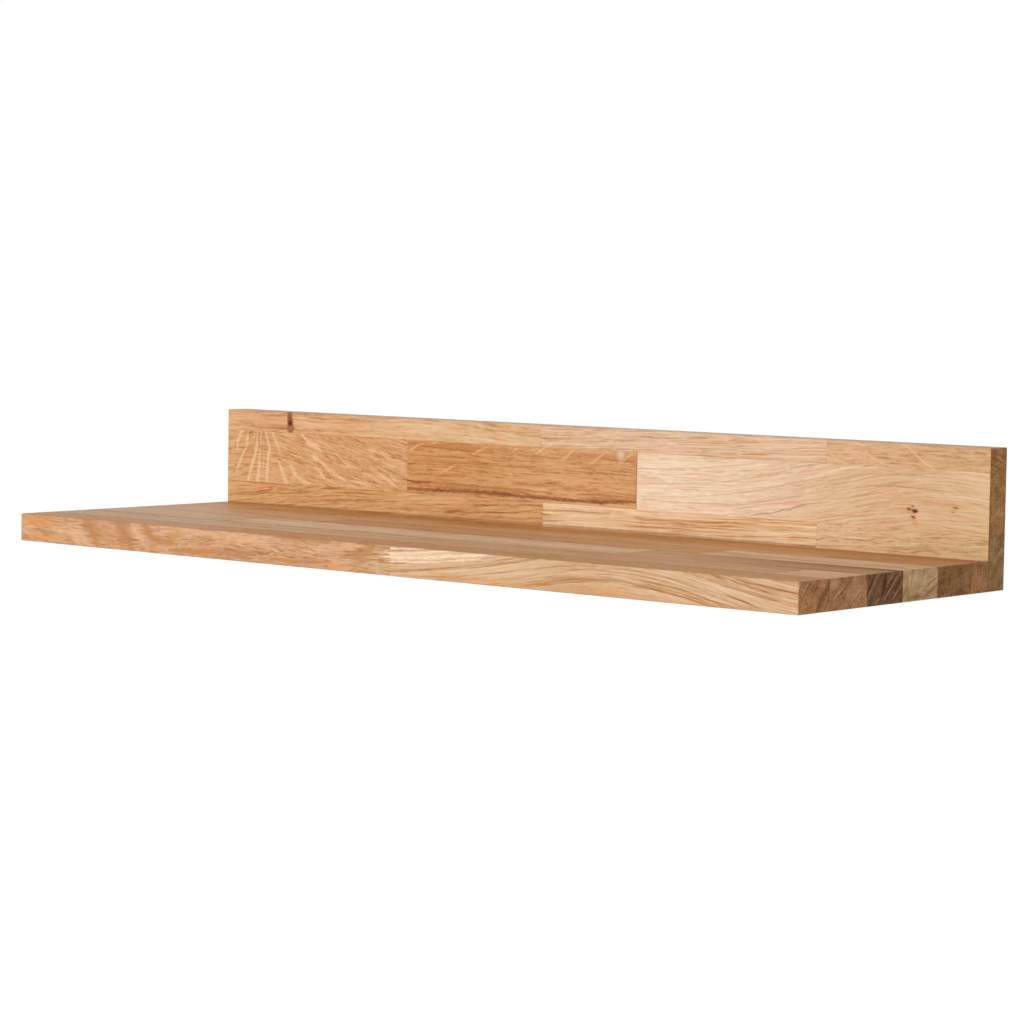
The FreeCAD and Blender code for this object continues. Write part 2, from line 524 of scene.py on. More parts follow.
RAY_WIDTH = 0.9
RAY_LENGTH = 9.0
RAY_STEP: Point = (0.58, 0.72)
PORE_CELL: Point = (5.0, 0.5)
PORE_STEP: Point = (0.54, 0.70)
PORE_LATE = 0.3
DASH_CELL: Point = (13.0, 1.2)
DASH_STEP: Point = (0.53, 0.70)
CLOUD_CELL: Point = (80.0, 9.0)
FIBRE_LENGTH = 30.0
HUE_CELL: Point = (60.0, 3.2)
HUE_STEP: Point = (0.36, 0.64)
FRAY_CELL: Point = (5.0, 0.9)
SWAY_SCALE = 0.09
SPECKLE_SCALE: Triple = (0.1, 0.9, 0.9)
SAW_SCALES: tuple[Triple, Triple] = ((0.1, 0.12, 1.1), (0.1, 1.1, 0.12))

# Middle shades and weights of the fields: on the faces, in their fade, on the end grain and in the marks

FACE_SHADE = 0.56
CLOUD_WEIGHT = 1.7
FIBRE_WEIGHT = 2.0
BAND_WEIGHT = 0.8
DASH_WEIGHT = 0.6
FADE_START = 0.1
FADE_STOP = 0.2
FADE_DRIFT = 90.0
END_SHADE = 0.53
END_BAND = 0.5
END_CLOUD = 1.1
END_SPECKLE = 0.9
END_PORE = 0.12
END_RAY = 0.12
MARK_BASE = 0.95
MARK_FIBRE = 0.8

# Gloss and relief of all staves

OAK_IOR = 1.26
OAK_ROUGHNESS = 0.48
CLOUD_ROUGHNESS = 0.15
PORE_ROUGHNESS = 0.2
END_ROUGHNESS = 0.25
PORE_RELIEF = 0.8
LINE_RELIEF = 0.35
DASH_RELIEF = 0.3
RELIEF_STRENGTH = 0.35
RELIEF_DEPTH = 0.00012


@dataclass(frozen=True)
class OakFields:
    """The values over one stave that its colours, gloss and relief are mixed from.

    Each field is a share from 0 to 1 or a value about 0.

    Attributes:
        place: Place on the stave in mm.
        parts: That place by axes.
        line: Dark starts of the year rings.
        band: Tone of each year ring.
        pore: Fine pores.
        dash: Long pores that join into dashes.
        ray: Small medullary rays.
        cloud: Broad drift of the tone.
        fibre: Fine streaks of the tone.
        hue: Streaks between a redder and a yellower wood.
        speckle: Cut ends of the fibres on the end grain.
        wander: Slow random shift of the marks in mm.
        fray: Fine noise along the fibres.
        saw: Saw marks on the end grain.
    """

    place: Wire
    parts: tuple[Wire, Wire, Wire]
    line: Wire
    band: Wire
    pore: Wire
    dash: Wire
    ray: Wire
    cloud: Wire
    fibre: Wire
    hue: Wire
    speckle: Wire
    wander: Wire
    fray: Wire
    saw: Wire


@dataclass(frozen=True)
class OakFinish(Finish):
    """Oiled oak on one stave: year rings about the pith, pores along the grain, rays across it, marks on top.

    Attributes:
        grain: How the stave was cut, and its colour.
        low: Lowest corner of the stave in mm.
        high: Highest corner of the stave in mm.
        across: Frame axis across the stave on its board's wide face.
        through: Frame axis through the board's thickness.
    """

    grain: Grain
    low: Vector
    high: Vector
    across: int
    through: int

    def _cells(self, place: Wire, long: float, short: float) -> Wire:
        """Place in cells of noise of this length along the grain and this width across it, in mm."""
        return place * (1.0 / long, 1.0 / short, 1.0 / short) + self.grain.seed

    def _offsets(self, parts: tuple[Wire, Wire, Wire], place: Wire) -> list[Wire]:
        """Measure from the pith, across the stave and through it.

        Each offset is the plain one less the tilt along the length and the swell of the arch, plus three
        noises that wander slowly, less slowly and quickly along the grain.

        Args:
            parts: Place on the stave by axes.
            place: Place on the stave.

        Returns:
            The two offsets in mm.
        """
        grain, graph = self.grain, place.graph
        middle = (self.low + self.high) / 2.0
        wander = None
        for long, short, reach in WANDER_LAYERS:
            noise = graph.noise(self._cells(place, long, short), 0.0, "Color")
            layer = (noise - MIDDLE) * (reach * grain.wave)
            wander = layer if wander is None else wander + layer
        drift = graph.split(wander)
        offsets = []
        for number, axis in enumerate((self.across, self.through)):
            offset = parts[axis] + drift[number] - (middle[axis] + grain.pith[number])
            if grain.tilt[number]:
                offset = offset - (parts[0] - middle[0]) * grain.tilt[number]
            offsets.append(offset)
        if grain.arch:
            away = (parts[0] - grain.arch.middle) / grain.arch.spread
            bell = graph.math("EXPONENT", away * away * -1.0)
            offsets[0] = offsets[0] - bell * grain.arch.across
            offsets[1] = offsets[1] - bell * grain.arch.through
        return offsets

    def _fields(self, graph: Graph) -> OakFields:
        """Lay rings, pores, rays and streaks along the grain.

        The year rings are the distance from the pith over the ring's width, and its fraction is how far
        through a year the wood is. Each whole year takes two random numbers, for its line and its tone.

        Args:
            graph: The stave's graph.

        Returns:
            The fields.
        """
        grain = self.grain
        place = graph.place()
        parts = graph.split(place)
        across, through = self._offsets(parts, place)
        flow = graph.join(parts[0], across, through)
        radius = graph.math("SQRT", across * across + through * through)
        uneven = graph.noise(graph.join(radius / (grain.ring * RING_DRIFT), grain.seed, parts[0] / RING_RUN))
        phase = radius / grain.ring + uneven * RING_DRIFT
        early = (1.0 - graph.math("FRACT", phase)) ** RING_FALL
        year = graph.math("FLOOR", phase) + grain.seed
        drawn = graph.node("ShaderNodeTexWhiteNoise", {"noise_dimensions": "1D"}, {"W": year}, "Color")
        chance = graph.split(drawn)
        turn = graph.math("ARCTAN2", through, across) * math.hypot(*grain.pith)
        ray_cells = graph.join(turn / RAY_WIDTH, radius / RAY_LENGTH, parts[0] / RAY_LENGTH) + grain.seed

        def streaks(long: float, short: float, detail: float = 1.0) -> Wire:
            """Noise along the grain with cells of this length and width."""
            return graph.noise(self._cells(flow, long * grain.run, short), detail)

        return OakFields(
            place=place,
            parts=parts,
            line=early * (grain.even + chance[0] * chance[0] * (1.0 - grain.even)),
            band=chance[1] - MIDDLE,
            pore=graph.ease(streaks(*PORE_CELL), *PORE_STEP) * (PORE_LATE + early * (1.0 - PORE_LATE)),
            dash=graph.ease(streaks(*DASH_CELL), *DASH_STEP),
            ray=graph.ease(graph.noise(ray_cells, 0.0), *RAY_STEP),
            cloud=streaks(*CLOUD_CELL, 2.0) - MIDDLE,
            fibre=streaks(FIBRE_LENGTH, grain.fibre) - MIDDLE,
            hue=streaks(*HUE_CELL),
            speckle=graph.noise(place * SPECKLE_SCALE, 2.0) - MIDDLE,
            wander=(graph.noise(place * SWAY_SCALE + grain.seed, 2.0, "Color") - MIDDLE) * 2.0,
            fray=streaks(*FRAY_CELL) - MIDDLE,
            saw=graph.noise(place * SAW_SCALES[0]) + graph.noise(place * SAW_SCALES[1]) - 2.0 * MIDDLE,
        )

    def _glue_lines(self, parts: tuple[Wire, Wire, Wire]) -> Wire:
        """Draw fine lines where the stave is glued to its neighbours, and none on the board's outside.

        Args:
            parts: Place on the stave by axes.

        Returns:
            1 on a line and 0 beside it.
        """
        gaps = []
        for axis in (0, self.across):
            if self.low[axis] - CAD_BOX[0][axis] * MM_PER_M > OUTSIDE_GAP:
                gaps.append(parts[axis] - (self.low[axis] + (FINGER_LENGTH if axis == 0 else 0.0)))
            if CAD_BOX[1][axis] * MM_PER_M - self.high[axis] > OUTSIDE_GAP:
                gaps.append(self.high[axis] - parts[axis])
        return parts[0].graph.ease(reduce(Wire.least, map(abs, gaps)), *GLUE_EDGE)

    @staticmethod
    def _toned(shade: Wire, hue: Wire, tone: Rgb, levels: tuple = FACE_LEVELS) -> Wire:
        """Colour a shade, from deep at 0 over the tone at the middle to pale at 1, in two hues.

        Args:
            shade: The shade.
            hue: Noise that leans the colour to yellow or red.
            tone: Display colour at the middle.
            levels: Factors of the colour at 0, at the middle and at 1.

        Returns:
            The colour.
        """
        graph = shade.graph
        ramps = []
        for factors in (YELLOW_FACTORS, RED_FACTORS):
            colours = [tinted(tone, tuple(np.multiply(level, factors).tolist())) for level in levels]
            stops = tuple(zip((0.0, MIDDLE, 1.0), colours))
            ramps.append(graph.node("ShaderNodeValToRGB", {"stops": stops}, {0: shade}))
        return graph.mix(graph.ease(hue, *HUE_STEP), *ramps)

    def _marked(self, oak: OakFields, colour: Wire, face: Face) -> Wire:
        """Lay the stave's own marks on one face over its colour.

        Args:
            oak: The stave's fields.
            colour: The colour without marks.
            face: The face.

        Returns:
            The colour with its marks.
        """
        for figure in self.grain.figures:
            if figure.face is face:
                # Each figure's share: the wood's marks, and in a few figures painted shade
                mark_and_shade = figure.mask(oak.place, oak.wander, oak.fray) * figure.strength
                mark_and_shade = mark_and_shade * (MARK_BASE + oak.fibre * MARK_FIBRE + oak.cloud)
                colour = colour.graph.mix(mark_and_shade, colour, tinted(figure.tone))
        return colour

    def _face_colour(self, oak: OakFields) -> Wire:
        """Mix the colour of the faces along the grain.

        Args:
            oak: The stave's fields.

        Returns:
            The colour with the marks of the front and the top.
        """
        grain, graph, parts = self.grain, oak.place.graph, oak.parts
        shade = FACE_SHADE + oak.cloud * (CLOUD_WEIGHT * grain.mottle)
        shade = shade + oak.fibre * (FIBRE_WEIGHT * grain.fine)
        shade = shade + oak.band * (BAND_WEIGHT * grain.lines) - oak.line * grain.lines
        shade = shade - oak.pore * grain.pores - oak.dash * (DASH_WEIGHT * grain.pores) + oak.ray * grain.rays
        shade = shade - self._glue_lines(parts) * GLUE_DEPTH
        colour = self._toned(shade, oak.hue, grain.tone)
        if grain.fade_tone:
            span = self.high[0] - self.low[0]
            start = self.low[0] + FADE_START * span
            stop = self.high[0] - FADE_STOP * span
            drift = graph.ease(parts[0] + oak.cloud * FADE_DRIFT, start, stop)
            colour = graph.mix(drift, colour, self._toned(shade, oak.hue, grain.fade_tone))
        marked = self._marked(oak, colour, Face.FRONT)
        near = graph.ease(parts[1], self.low[1] + MARK_DEPTH, self.low[1])
        colour = graph.mix(near, colour, marked)
        # Painted shade: the upper face takes a darker, more orange copy of the wood than the front, against
        # its sheen
        if grain.shaded_top_tone:
            upper = graph.ease(parts[2], *(self.high[2] - depth for depth in TOP_EDGE))
            colour = graph.mix(upper, colour, self._toned(shade, oak.hue, grain.shaded_top_tone))
        return self._marked(oak, colour, Face.TOP)

    def _end_colour(self, oak: OakFields) -> Wire:
        """Mix the colour of the end grain.

        Args:
            oak: The stave's fields.

        Returns:
            The colour with the marks of the end.
        """
        grain = self.grain
        shade = END_SHADE + (oak.band * END_BAND - oak.line) * grain.end_lines
        shade = shade + oak.cloud * END_CLOUD + oak.speckle * END_SPECKLE
        shade = shade + oak.saw * grain.saw - oak.pore * END_PORE + oak.ray * END_RAY
        colour = self._toned(shade, oak.hue, grain.end_tone, END_LEVELS)
        return self._marked(oak, colour, Face.END)

    def draw(self, graph: Graph) -> None:
        """Lay out the stave's colour, gloss and relief.

        Args:
            graph: The stave's graph.
        """
        oak = self._fields(graph)
        face_colour = self._face_colour(oak)
        end_colour = self._end_colour(oak)
        half_length = CAD_BOX[1][0] * MM_PER_M
        end_face = graph.ease(abs(oak.parts[0]), *(half_length - depth for depth in END_EDGE))
        colour = graph.mix(end_face, face_colour, end_colour)
        rough = OAK_ROUGHNESS + oak.cloud * CLOUD_ROUGHNESS + oak.pore * PORE_ROUGHNESS
        rough = rough + end_face * END_ROUGHNESS
        relief = 0.0 - oak.pore * PORE_RELIEF - oak.line * LINE_RELIEF - oak.dash * DASH_RELIEF
        bump = graph.bump(relief, RELIEF_STRENGTH, RELIEF_DEPTH)
        graph.surface({"Base Color": colour, "Roughness": rough, "Normal": bump, "IOR": OAK_IOR})


# Other finishes


@dataclass(frozen=True)
class ZincFinish(Finish):
    """Zinc plated steel: a grey metal with soft cloudy spangle and fine rolling lines."""

    tone: Rgb = (196, 197, 194)
    warm_tone: Rgb = (186, 178, 160)
    roughness: float = 0.36
    spangle_scale: float = 0.22
    spangle_step: Point = (0.35, 0.7)
    spangle_gloss: float = 0.25
    rolling_scale: Triple = (0.08, 2.2, 4.0)
    rolling_gloss: float = 0.12
    relief: Point = (0.2, 0.00005)

    def draw(self, graph: Graph) -> None:
        """Lay out the zinc's colour, gloss and relief.

        Args:
            graph: The material's graph.
        """
        place = graph.place()
        spangle = graph.noise(place * self.spangle_scale, 3.0)
        rolled = graph.noise(place * self.rolling_scale, 1.0)
        warm = graph.ease(spangle, *self.spangle_step)
        colour = graph.mix(warm, tinted(self.tone), tinted(self.warm_tone))
        rough = self.roughness + (spangle - MIDDLE) * self.spangle_gloss
        rough = rough + (rolled - MIDDLE) * self.rolling_gloss
        bump = graph.bump(rolled, *self.relief)
        graph.surface({"Base Color": colour, "Roughness": rough, "Normal": bump, "Metallic": 1.0})


@dataclass(frozen=True)
class BeechFinish(Finish):
    """Plain beech dowel rod: pale pinkish wood with short brown flecks along the rod."""

    tone: Rgb = (214, 176, 142)
    fleck_tone: Rgb = (150, 104, 72)
    fleck_scale: Triple = (1.4, 0.35, 1.4)
    fleck_step: Point = (0.58, 0.7)
    streak_scale: Triple = (0.7, 0.04, 0.7)
    weight: float = 0.6
    roughness: float = 0.55
    fleck_gloss: float = 0.15

    def draw(self, graph: Graph) -> None:
        """Lay out the beech's colour and gloss.

        Args:
            graph: The material's graph.
        """
        place = graph.place()
        flecks = graph.ease(graph.noise(place * self.fleck_scale, 1.0), *self.fleck_step)
        streaks = graph.noise(place * self.streak_scale, 2.0)
        brown = flecks * self.weight + (streaks - MIDDLE) * self.weight
        colour = graph.mix(brown, tinted(self.tone), tinted(self.fleck_tone))
        graph.surface({"Base Color": colour, "Roughness": self.roughness + flecks * self.fleck_gloss})


@dataclass(frozen=True)
class FloorFinish(Finish):
    """Pale floor that looks white to the camera and still shows the object's shadow."""

    pale: float = 0.9
    glow: float = 1.14
    blend: float = 0.8

    def draw(self, graph: Graph) -> None:
        """Lay out the floor's two shaders.

        Args:
            graph: The material's graph.
        """
        lit = graph.node("ShaderNodeBsdfDiffuse", {}, {"Color": (self.pale, self.pale, self.pale, 1.0)})
        white = graph.node("ShaderNodeEmission", {}, {"Color": WHITE, "Strength": self.glow})
        mixed = graph.node("ShaderNodeMixShader", {}, {0: graph.seen() * self.blend, 1: lit, 2: white})
        graph.node("ShaderNodeOutputMaterial", {}, {"Surface": mixed})


# Colour of the pale rays

FLECK_TONE: Rgb = (239, 202, 159)

# Marks on the middle row of the back board

FAN_FLECKS = Figure(
    Trail((-352, 24, 4.2), (-360, 13.8, 5.9), (-363, 8, 6.7), (-364, 0, 5.8)),
    Trail((-349.6, 24, 5.3), (-351.6, 10, 5.3), (-352.8, 1.4, 5.3)),
    Trail((-353, 3.4, 4.7), (-357, -3.5, 5.5), (-361, -11.5, 5.9), (-364.4, -19.6, 5.3)),
    Trail(
        (-339.2, 18, 3.8), (-340.6, 4, 4.7), (-342.6, -4, 5.3), (-346.4, -12.5, 6.7), (-348.6, -20, 6.4),
        (-351.6, -31, 6.4),
    ),
    Trail((-335.6, 26, 6.4), (-335.2, 15, 4.8), (-335, 7, 4.8)),
    Trail((-336.2, 1, 4.7), (-337.2, -13, 5.5), (-338.6, -24, 6.4), (-339.6, -33, 6.4)),
    Trail(
        (-333.4, 25, 6.4), (-328.6, 11.5, 5), (-325.2, 3.4, 5.5), (-326.8, -5, 5.3), (-327.6, -16, 6.1),
        (-328.4, -33, 9.5),
    ),
    Trail((-325.6, 23, 5.3), (-318, 9.6, 4.8), (-312.6, -0.6, 4.8)),
    Trail((-315, -6, 3.8), (-310.8, -14.6, 5.9), (-307, -22, 10.1), (-304, -32, 12.7)),
    Trail((-300.6, -9.6, 3.8), (-295.4, -17, 7.6), (-289, -21.6, 8.9), (-277, -24.4, 5.3)),
    Trail((-292, 19.6, 4.8), (-281, 10.4, 6.1), (-270, 6, 6.1), (-264.6, 2, 4.2)),
    Trail((-276.5, -0.6, 4.8), (-272, -2.8, 9.1), (-267.6, -4, 4.8)),
    Trail((-272.4, -10.2, 4.8), (-266, -13.4, 7.4), (-261, -19, 5.8)),
    Trail((-266.6, -5, 4.7), (-258, -11, 6.4), (-250, -14.8, 5.8), (-237.6, -19.6, 5.3)),
    Trail((-248, 0.6, 3), (-234, -7.4, 5), (-219, -9.8, 4.7)),
    Trail((-232.4, -19.4, 4.2), (-216, -21, 5.8), (-204.4, -23.8, 4.7)),
    Trail((-211, -7.6, 3), (-203, -10.4, 3.8), (-190, -17.2, 4.2), (-181, -21.4, 3.4)),
    strength=0.72, tone=FLECK_TONE, sway=0.8, soft=0.95, frayed=1.1,
)
FAINT_FLECKS = Figure(
    Trail((-190, -11.6, 2), (-184, -16, 2.6), (-175, -18, 2)),
    Trail((-196, -2, 2), (-187, -5, 2.6), (-171, -7.4, 2.4)),
    Trail((-182, 0.6, 2), (-171, -3, 2.2)),
    Trail((-310, 16.2, 2), (-303.6, 14.2, 2.8)),
    Trail((-346, 16, 1.8), (-346.6, 5, 1.8)),
    Trail((-343, 16, 1.6), (-343.6, 6, 1.6)),
    Trail((-332.6, 13, 1.6), (-331.6, 3, 1.6)),
    Trail((-331.4, 0, 1.6), (-333, -22, 1.8)),
    Trail((-367, 12, 2.4), (-369, -4, 2.4)),
    Trail((-240, 5.4, 1.8), (-232, 6.4, 2.4), (-225, 5.2, 1.8)),
    Trail((-237, -23.4, 2), (-229, -24.2, 2.8), (-222, -24.6, 2)),
    Trail((-214, 2.6, 1.8), (-204, 0.4, 2.2), (-196, -1.6, 1.8)),
    Trail((-196, 11, 1.8), (-184, 10.4, 2.2), (-171, 9.6, 2)),
    Trail((-236, 2, 1.6), (-222, -2.6, 2.2), (-206, -6.4, 1.8)),
    Trail((-226, -10.4, 1.6), (-212, -13.4, 2.4), (-196, -20, 1.8)),
    Trail((-206, -4.4, 1.6), (-194, -9, 2.4), (-180, -15.6, 1.8)),
    Trail((-200, 4.4, 1.6), (-190, 1, 2.2), (-176, -1.6, 1.8)),
    Trail((-222, 8.4, 1.6), (-206, 6.6, 2.2), (-190, 3.4, 1.6)),
    Trail((-254, -1.4, 1.6), (-242, -6.8, 2.4), (-230, -11.8, 1.6)),
    Trail((-286, 4.4, 1.6), (-274, 2, 2.4), (-262, -1, 1.6)),
    strength=0.55, tone=FLECK_TONE, soft=0.9, frayed=1.2,
)
CROSS_DASHES = Figure(
    Stroke((-362, 13), (-319, 13.2), 1.8),
    Stroke((-360, 9.4), (-321, 9.2), 1.9),
    Stroke((-358, 3.8), (-320, 4.2), 1.7),
    Stroke((-366, -1.4), (-322, -1), 2),
    Stroke((-364, -6.2), (-346, -6), 1.8),
    Stroke((-360, -11.4), (-323, -11.2), 1.9),
    Stroke((-346, -14.4), (-322, -14.2), 1.8),
    Stroke((-366, -18.6), (-324, -18.2), 2.2),
    strength=0.45, tone=(168, 110, 62), soft=0.9, frayed=0.6,
)
SHORT_FLECKS = Figure(
    Trail((-170, 7, 2.5), (-163, 9.6, 3), (-158, 13, 3), (-151, 14.8, 2.5)),
    Trail((-99.4, 8.2, 2.5), (-93, 11.2, 3.2), (-82.4, 15.2, 2.8)),
    Trail((-58, 11.6, 2.8), (-52.6, 15.4, 3.2)),
    Trail((-34.4, 11.4, 2.8), (-30, 14, 3.2), (-24.6, 17.2, 3)),
    Trail((-9.4, 7.4, 2.5), (-4, 10, 3.4), (4.4, 16.6, 3)),
    Trail((18.6, 5.4, 2.5), (25, 9.2, 3.4), (33.4, 14.8, 3)),
    Trail((53.4, 10.8, 2.8), (61.4, 16.2, 3)),
    Trail((-133.4, -8.6, 2.3), (-122, -3.2, 2.8), (-116, -0.4, 2.3)),
    Trail((-142.6, 14.8, 2.3), (-135, 17.2, 2.8)),
    strength=0.8, tone=(234, 187, 138), sway=0.6, soft=0.95, frayed=0.9,
)
DARK_STREAKS = Figure(
    Trail(
        (-171, -21.8, 4.8), (-160, -22.4, 4.3), (-143, -22.4, 5.3), (-128, -22, 5.3), (-112, -22, 5.6),
        (-98, -21.6, 4.8), (-94, -21, 7.7), (-89, -21.6, 5.3), (-75, -21.8, 6.2), (-60, -22, 6),
        (-48, -22.4, 3.9), (-20, -22.9, 3.9), (4, -22.9, 3.9), (18, -22.6, 4.3), (30, -23, 5.3),
        (42, -21.8, 4.5), (52, -21.2, 4.8), (67, -20.8, 3.9),
    ),
    Trail((-170, -15.6, 3.9), (-160, -17, 3.9), (-143, -16.4, 2.5)),
    strength=0.82, tone=(124, 54, 8), sway=0.8, soft=0.9, frayed=1.3,
)
SOFT_STREAKS = Figure(
    Trail((-168, 0.8, 1.8), (-120, 0.2, 2), (-72, 0.6, 2)),
    Trail((-74, 0.2, 1.8), (-58, 0.7, 2.8), (-34, 0.6, 1.8)),
    Trail((-103, -15.8, 2.2), (-98, -16, 3.4), (-91, -15.6, 2.2)),
    Trail((-23, -11, 1.6), (-12, -10.6, 2.4), (-4, -10.2, 1.6)),
    Trail((-6, -0.2, 1.8), (30, -0.4, 2), (66, -0.6, 1.8)),
    Trail((-160, 12.6, 2), (-138, 12, 3), (-108, 10.6, 2.8), (-76, 9.6, 2.2)),
    Trail((-54, 9, 2.2), (-36, 9.6, 2.8), (-14, 9.2, 2.2)),
    Trail((32, 10.4, 2.2), (46, 10, 2.8), (66, 9.6, 2.2)),
    Trail((-168, -18.8, 5), (-140, -19.4, 5), (-104, -19.4, 4), (-60, -20.6, 6)),
    Trail((-60, -19.8, 4), (-48, -19.4, 6), (-38, -21, 4), (10, -22, 4)),
    Trail((10, -21, 4), (34, -20.4, 7), (66, -19.6, 6)),
    Trail((-174, -16.4, 4), (-120, -16.8, 4.6), (-60, -17.6, 4.4), (-16, -18, 3.4)),
    Trail((8, -17.6, 3.4), (38, -17.2, 4.6), (70, -16.8, 4)),
    Trail((-140, -10.6, 1.6), (-124, -10.2, 2.2), (-108, -10.6, 1.6)),
    Trail((-60, -13, 1.6), (-34, -12.6, 2.2), (-14, -13, 1.6)),
    Trail((-160, 5, 1.6), (-130, 4.6, 2.2), (-96, 5.4, 1.6)),
    strength=0.6, tone=(164, 94, 42), sway=0.5, frayed=1.4,
)
RED_BAND = Figure(
    Stroke((-260, 13), (30, 12.8), 7.6),
    Stroke((-60, 12.4), (110, 12.4), 6.6),
    strength=0.6, tone=(184, 114, 68), frayed=1.6,
)
SEAM_LINE = Figure(
    Trail((65.6, 30, 4), (65.4, 16, 2.4), (65.4, -26, 2.4), (65.4, -40, 4)),
    strength=0.48, tone=(150, 104, 68), sway=0.2, frayed=0.6,
)
SCUFF = Figure(
    Stroke((49, 28), (50.8, 4.4), 11.4),
    strength=0.7, tone=(240, 212, 192), sway=0.2, frayed=0.6,
)
PIN_KNOT = Figure(
    Stroke((310.2, -12.8), (318.4, -13.3), 4),
    strength=1.0, tone=(88, 34, 0), sway=0.2, soft=0.8, frayed=0.5,
)
PIN_SPECKS = Figure(
    Stroke((306.6, -12), (311.8, -11.5), 3.2),
    Stroke((310.4, -9.4), (314.4, -9.8), 2),
    Stroke((310, -17), (315.8, -17.8), 2.6),
    Stroke((344, -8.4), (351.4, -9.4), 2.4),
    Stroke((343.6, -12), (347, -12.2), 1.5),
    strength=0.85, tone=(128, 68, 14), sway=0.2, soft=0.85, frayed=0.6,
)
PIN_STAIN = Figure(
    Stroke((298, -12.5), (322, -13.6), 9),
    Stroke((309, -12), (318, -27), 9),
    Stroke((338, -12), (354, -9), 7),
    strength=0.5, tone=(208, 136, 88), frayed=1.2,
)
ARCH_CREASE = Figure(
    Trail(
        (172, -24.4, 1.5), (180, -23, 2.8), (192, -21.4, 1.8), (201, -18.8, 2.4), (208, -18, 1.8),
        (214, -15.2, 2.4), (222, -13.4, 1.8), (242, -10.6, 1.4),
    ),
    Trail((260, 0, 1), (281, 3.2, 1.6), (297, 4, 1.8), (310, 3.2, 1.5), (326, 3, 1.6), (346, 1.4, 1)),
    strength=0.55, tone=(158, 104, 60), sway=0.5,
)
ARCH_SHADES = Figure(
    Trail((66, -6.6, 1.6), (110, -4.4, 1.8), (150, -0.8, 1.8), (190, 6.6, 1.8), (226, 16, 1.6)),
    Trail((66, 4.6, 1.6), (108, 6.6, 2), (150, 10.4, 1.8), (184, 16, 1.6)),
    Trail((66, -16, 1.6), (120, -13.6, 1.8), (164, -8, 1.8), (206, 0.2, 1.8), (240, 7.6, 1.6)),
    Trail((100, -21.6, 1.6), (150, -18.6, 1.8), (196, -11.6, 1.8), (232, -3.6, 1.8), (262, 3, 1.6)),
    Trail((244, 6.4, 1.6), (270, 11, 1.8), (300, 12.4, 1.8), (340, 11.6, 1.8), (375, 9.6, 1.6)),
    Trail((300, -4.4, 1.4), (330, -4.6, 1.8), (360, -4.4, 1.8), (375, -5.4, 1.4)),
    Trail((330, -17, 1.4), (352, -18.6, 1.8), (375, -17.4, 1.6)),
    Trail((240, -20, 1.4), (270, -19, 1.8), (296, -19.4, 1.4)),
    strength=0.36, tone=(186, 142, 100), sway=0.8, frayed=1.4,
)
ARCH_GLOW = Figure(
    Trail((218, 4.4, 1.8), (236, 9.8, 2.8), (252, 13.6, 3.2), (268, 15.6, 3), (288, 16.4, 2.2)),
    Trail((112, -11.2, 1.6), (146, -7.2, 2.2), (172, -3.4, 2.2), (196, 0.6, 2.4), (216, 4, 1.8)),
    Trail((78, 14.8, 1.8), (104, 16.2, 2.4), (124, 17, 1.8)),
    Trail((70, 7.6, 1.8), (100, 9.6, 2.2), (130, 12.6, 1.8)),
    Trail((336, 16.4, 1.8), (358, 16.2, 2.4), (374, 15.2, 2)),
    Trail((158, -27, 1.6), (184, -26, 2.2), (202, -25.4, 1.6)),
    strength=0.6, tone=(247, 222, 192), sway=0.8, soft=0.9,
)

# Marks on the top and bottom rows of the back board, and painted shade along its bottom

BARK_HALO = Figure(
    Trail((-302, 40, 17), (-301.8, 30, 8), (-301.2, 25, 9.8), (-300.8, 20.8, 11.2), (-300.8, 14, 12)),
    strength=0.95, tone=(138, 70, 28), sway=0.2, soft=0.6, frayed=0.5,
)
BARK_POCKET = Figure(
    Stroke((-301.4, 29), (-301, 20.4), 6.6),
    strength=1.0, tone=(72, 24, 2), sway=0.2, soft=0.9, frayed=0.5,
)
BARK_HEART = Figure(
    Stroke((-302.6, 21.8), (-298.4, 20.4), 3.4),
    strength=0.8, tone=(200, 134, 94), sway=0.2, soft=0.9, frayed=0.4,
)
KNOT_GLOW = Figure(
    Stroke((-297, 30.5), (-281, 29.5), 5.4),
    Stroke((-296, 21), (-284, 20.4), 3.2),
    strength=0.5, tone=(240, 207, 164), soft=0.9,
)
TOP_FLECKS = Figure(
    Trail((302, 34, 2.4), (309, 31, 2.8), (313.4, 27, 3), (321, 21.4, 2.8), (330.4, 16.8, 2.4)),
    Trail((271, 26.6, 1.8), (283, 20.4, 2.6), (296, 17.2, 2)),
    Trail((238.6, 28, 1.8), (245, 21.6, 3), (256, 17.2, 2.2)),
    strength=0.7, tone=(238, 196, 150), sway=0.4, soft=0.85, frayed=1.1,
)
LOW_STREAKS = Figure(
    Stroke((-400, -26.6), (-262, -27), 2.4),
    Stroke((-295, -39.6), (-180, -32.4), 3),
    Stroke((-378, -37.4), (-304, -32.6), 2.2),
    strength=0.63, tone=(164, 100, 50), sway=1.4, soft=0.9, frayed=1.3,
)
LOW_GLOW = Figure(
    Stroke((-355, -44.6), (-235, -38.4), 2.6),
    Stroke((-267, -43.4), (-210, -38), 2.3),
    Stroke((-250, -43.6), (-150, -41), 2.3),
    strength=0.55, tone=(232, 190, 132), sway=1.4, soft=0.9, frayed=1.3,
)
# Painted shade: a soft dark band along the bottom of the back board, where it meets the shelf top
INNER_CORNER_SHADE = Figure(
    Trail((-420, -45, 7), (-26, -45, 7), (100, -45, 7.2), (420, -45, 5)),
    strength=0.5, tone=(140, 88, 48), sway=0.0, soft=0.5, frayed=0.2,
)
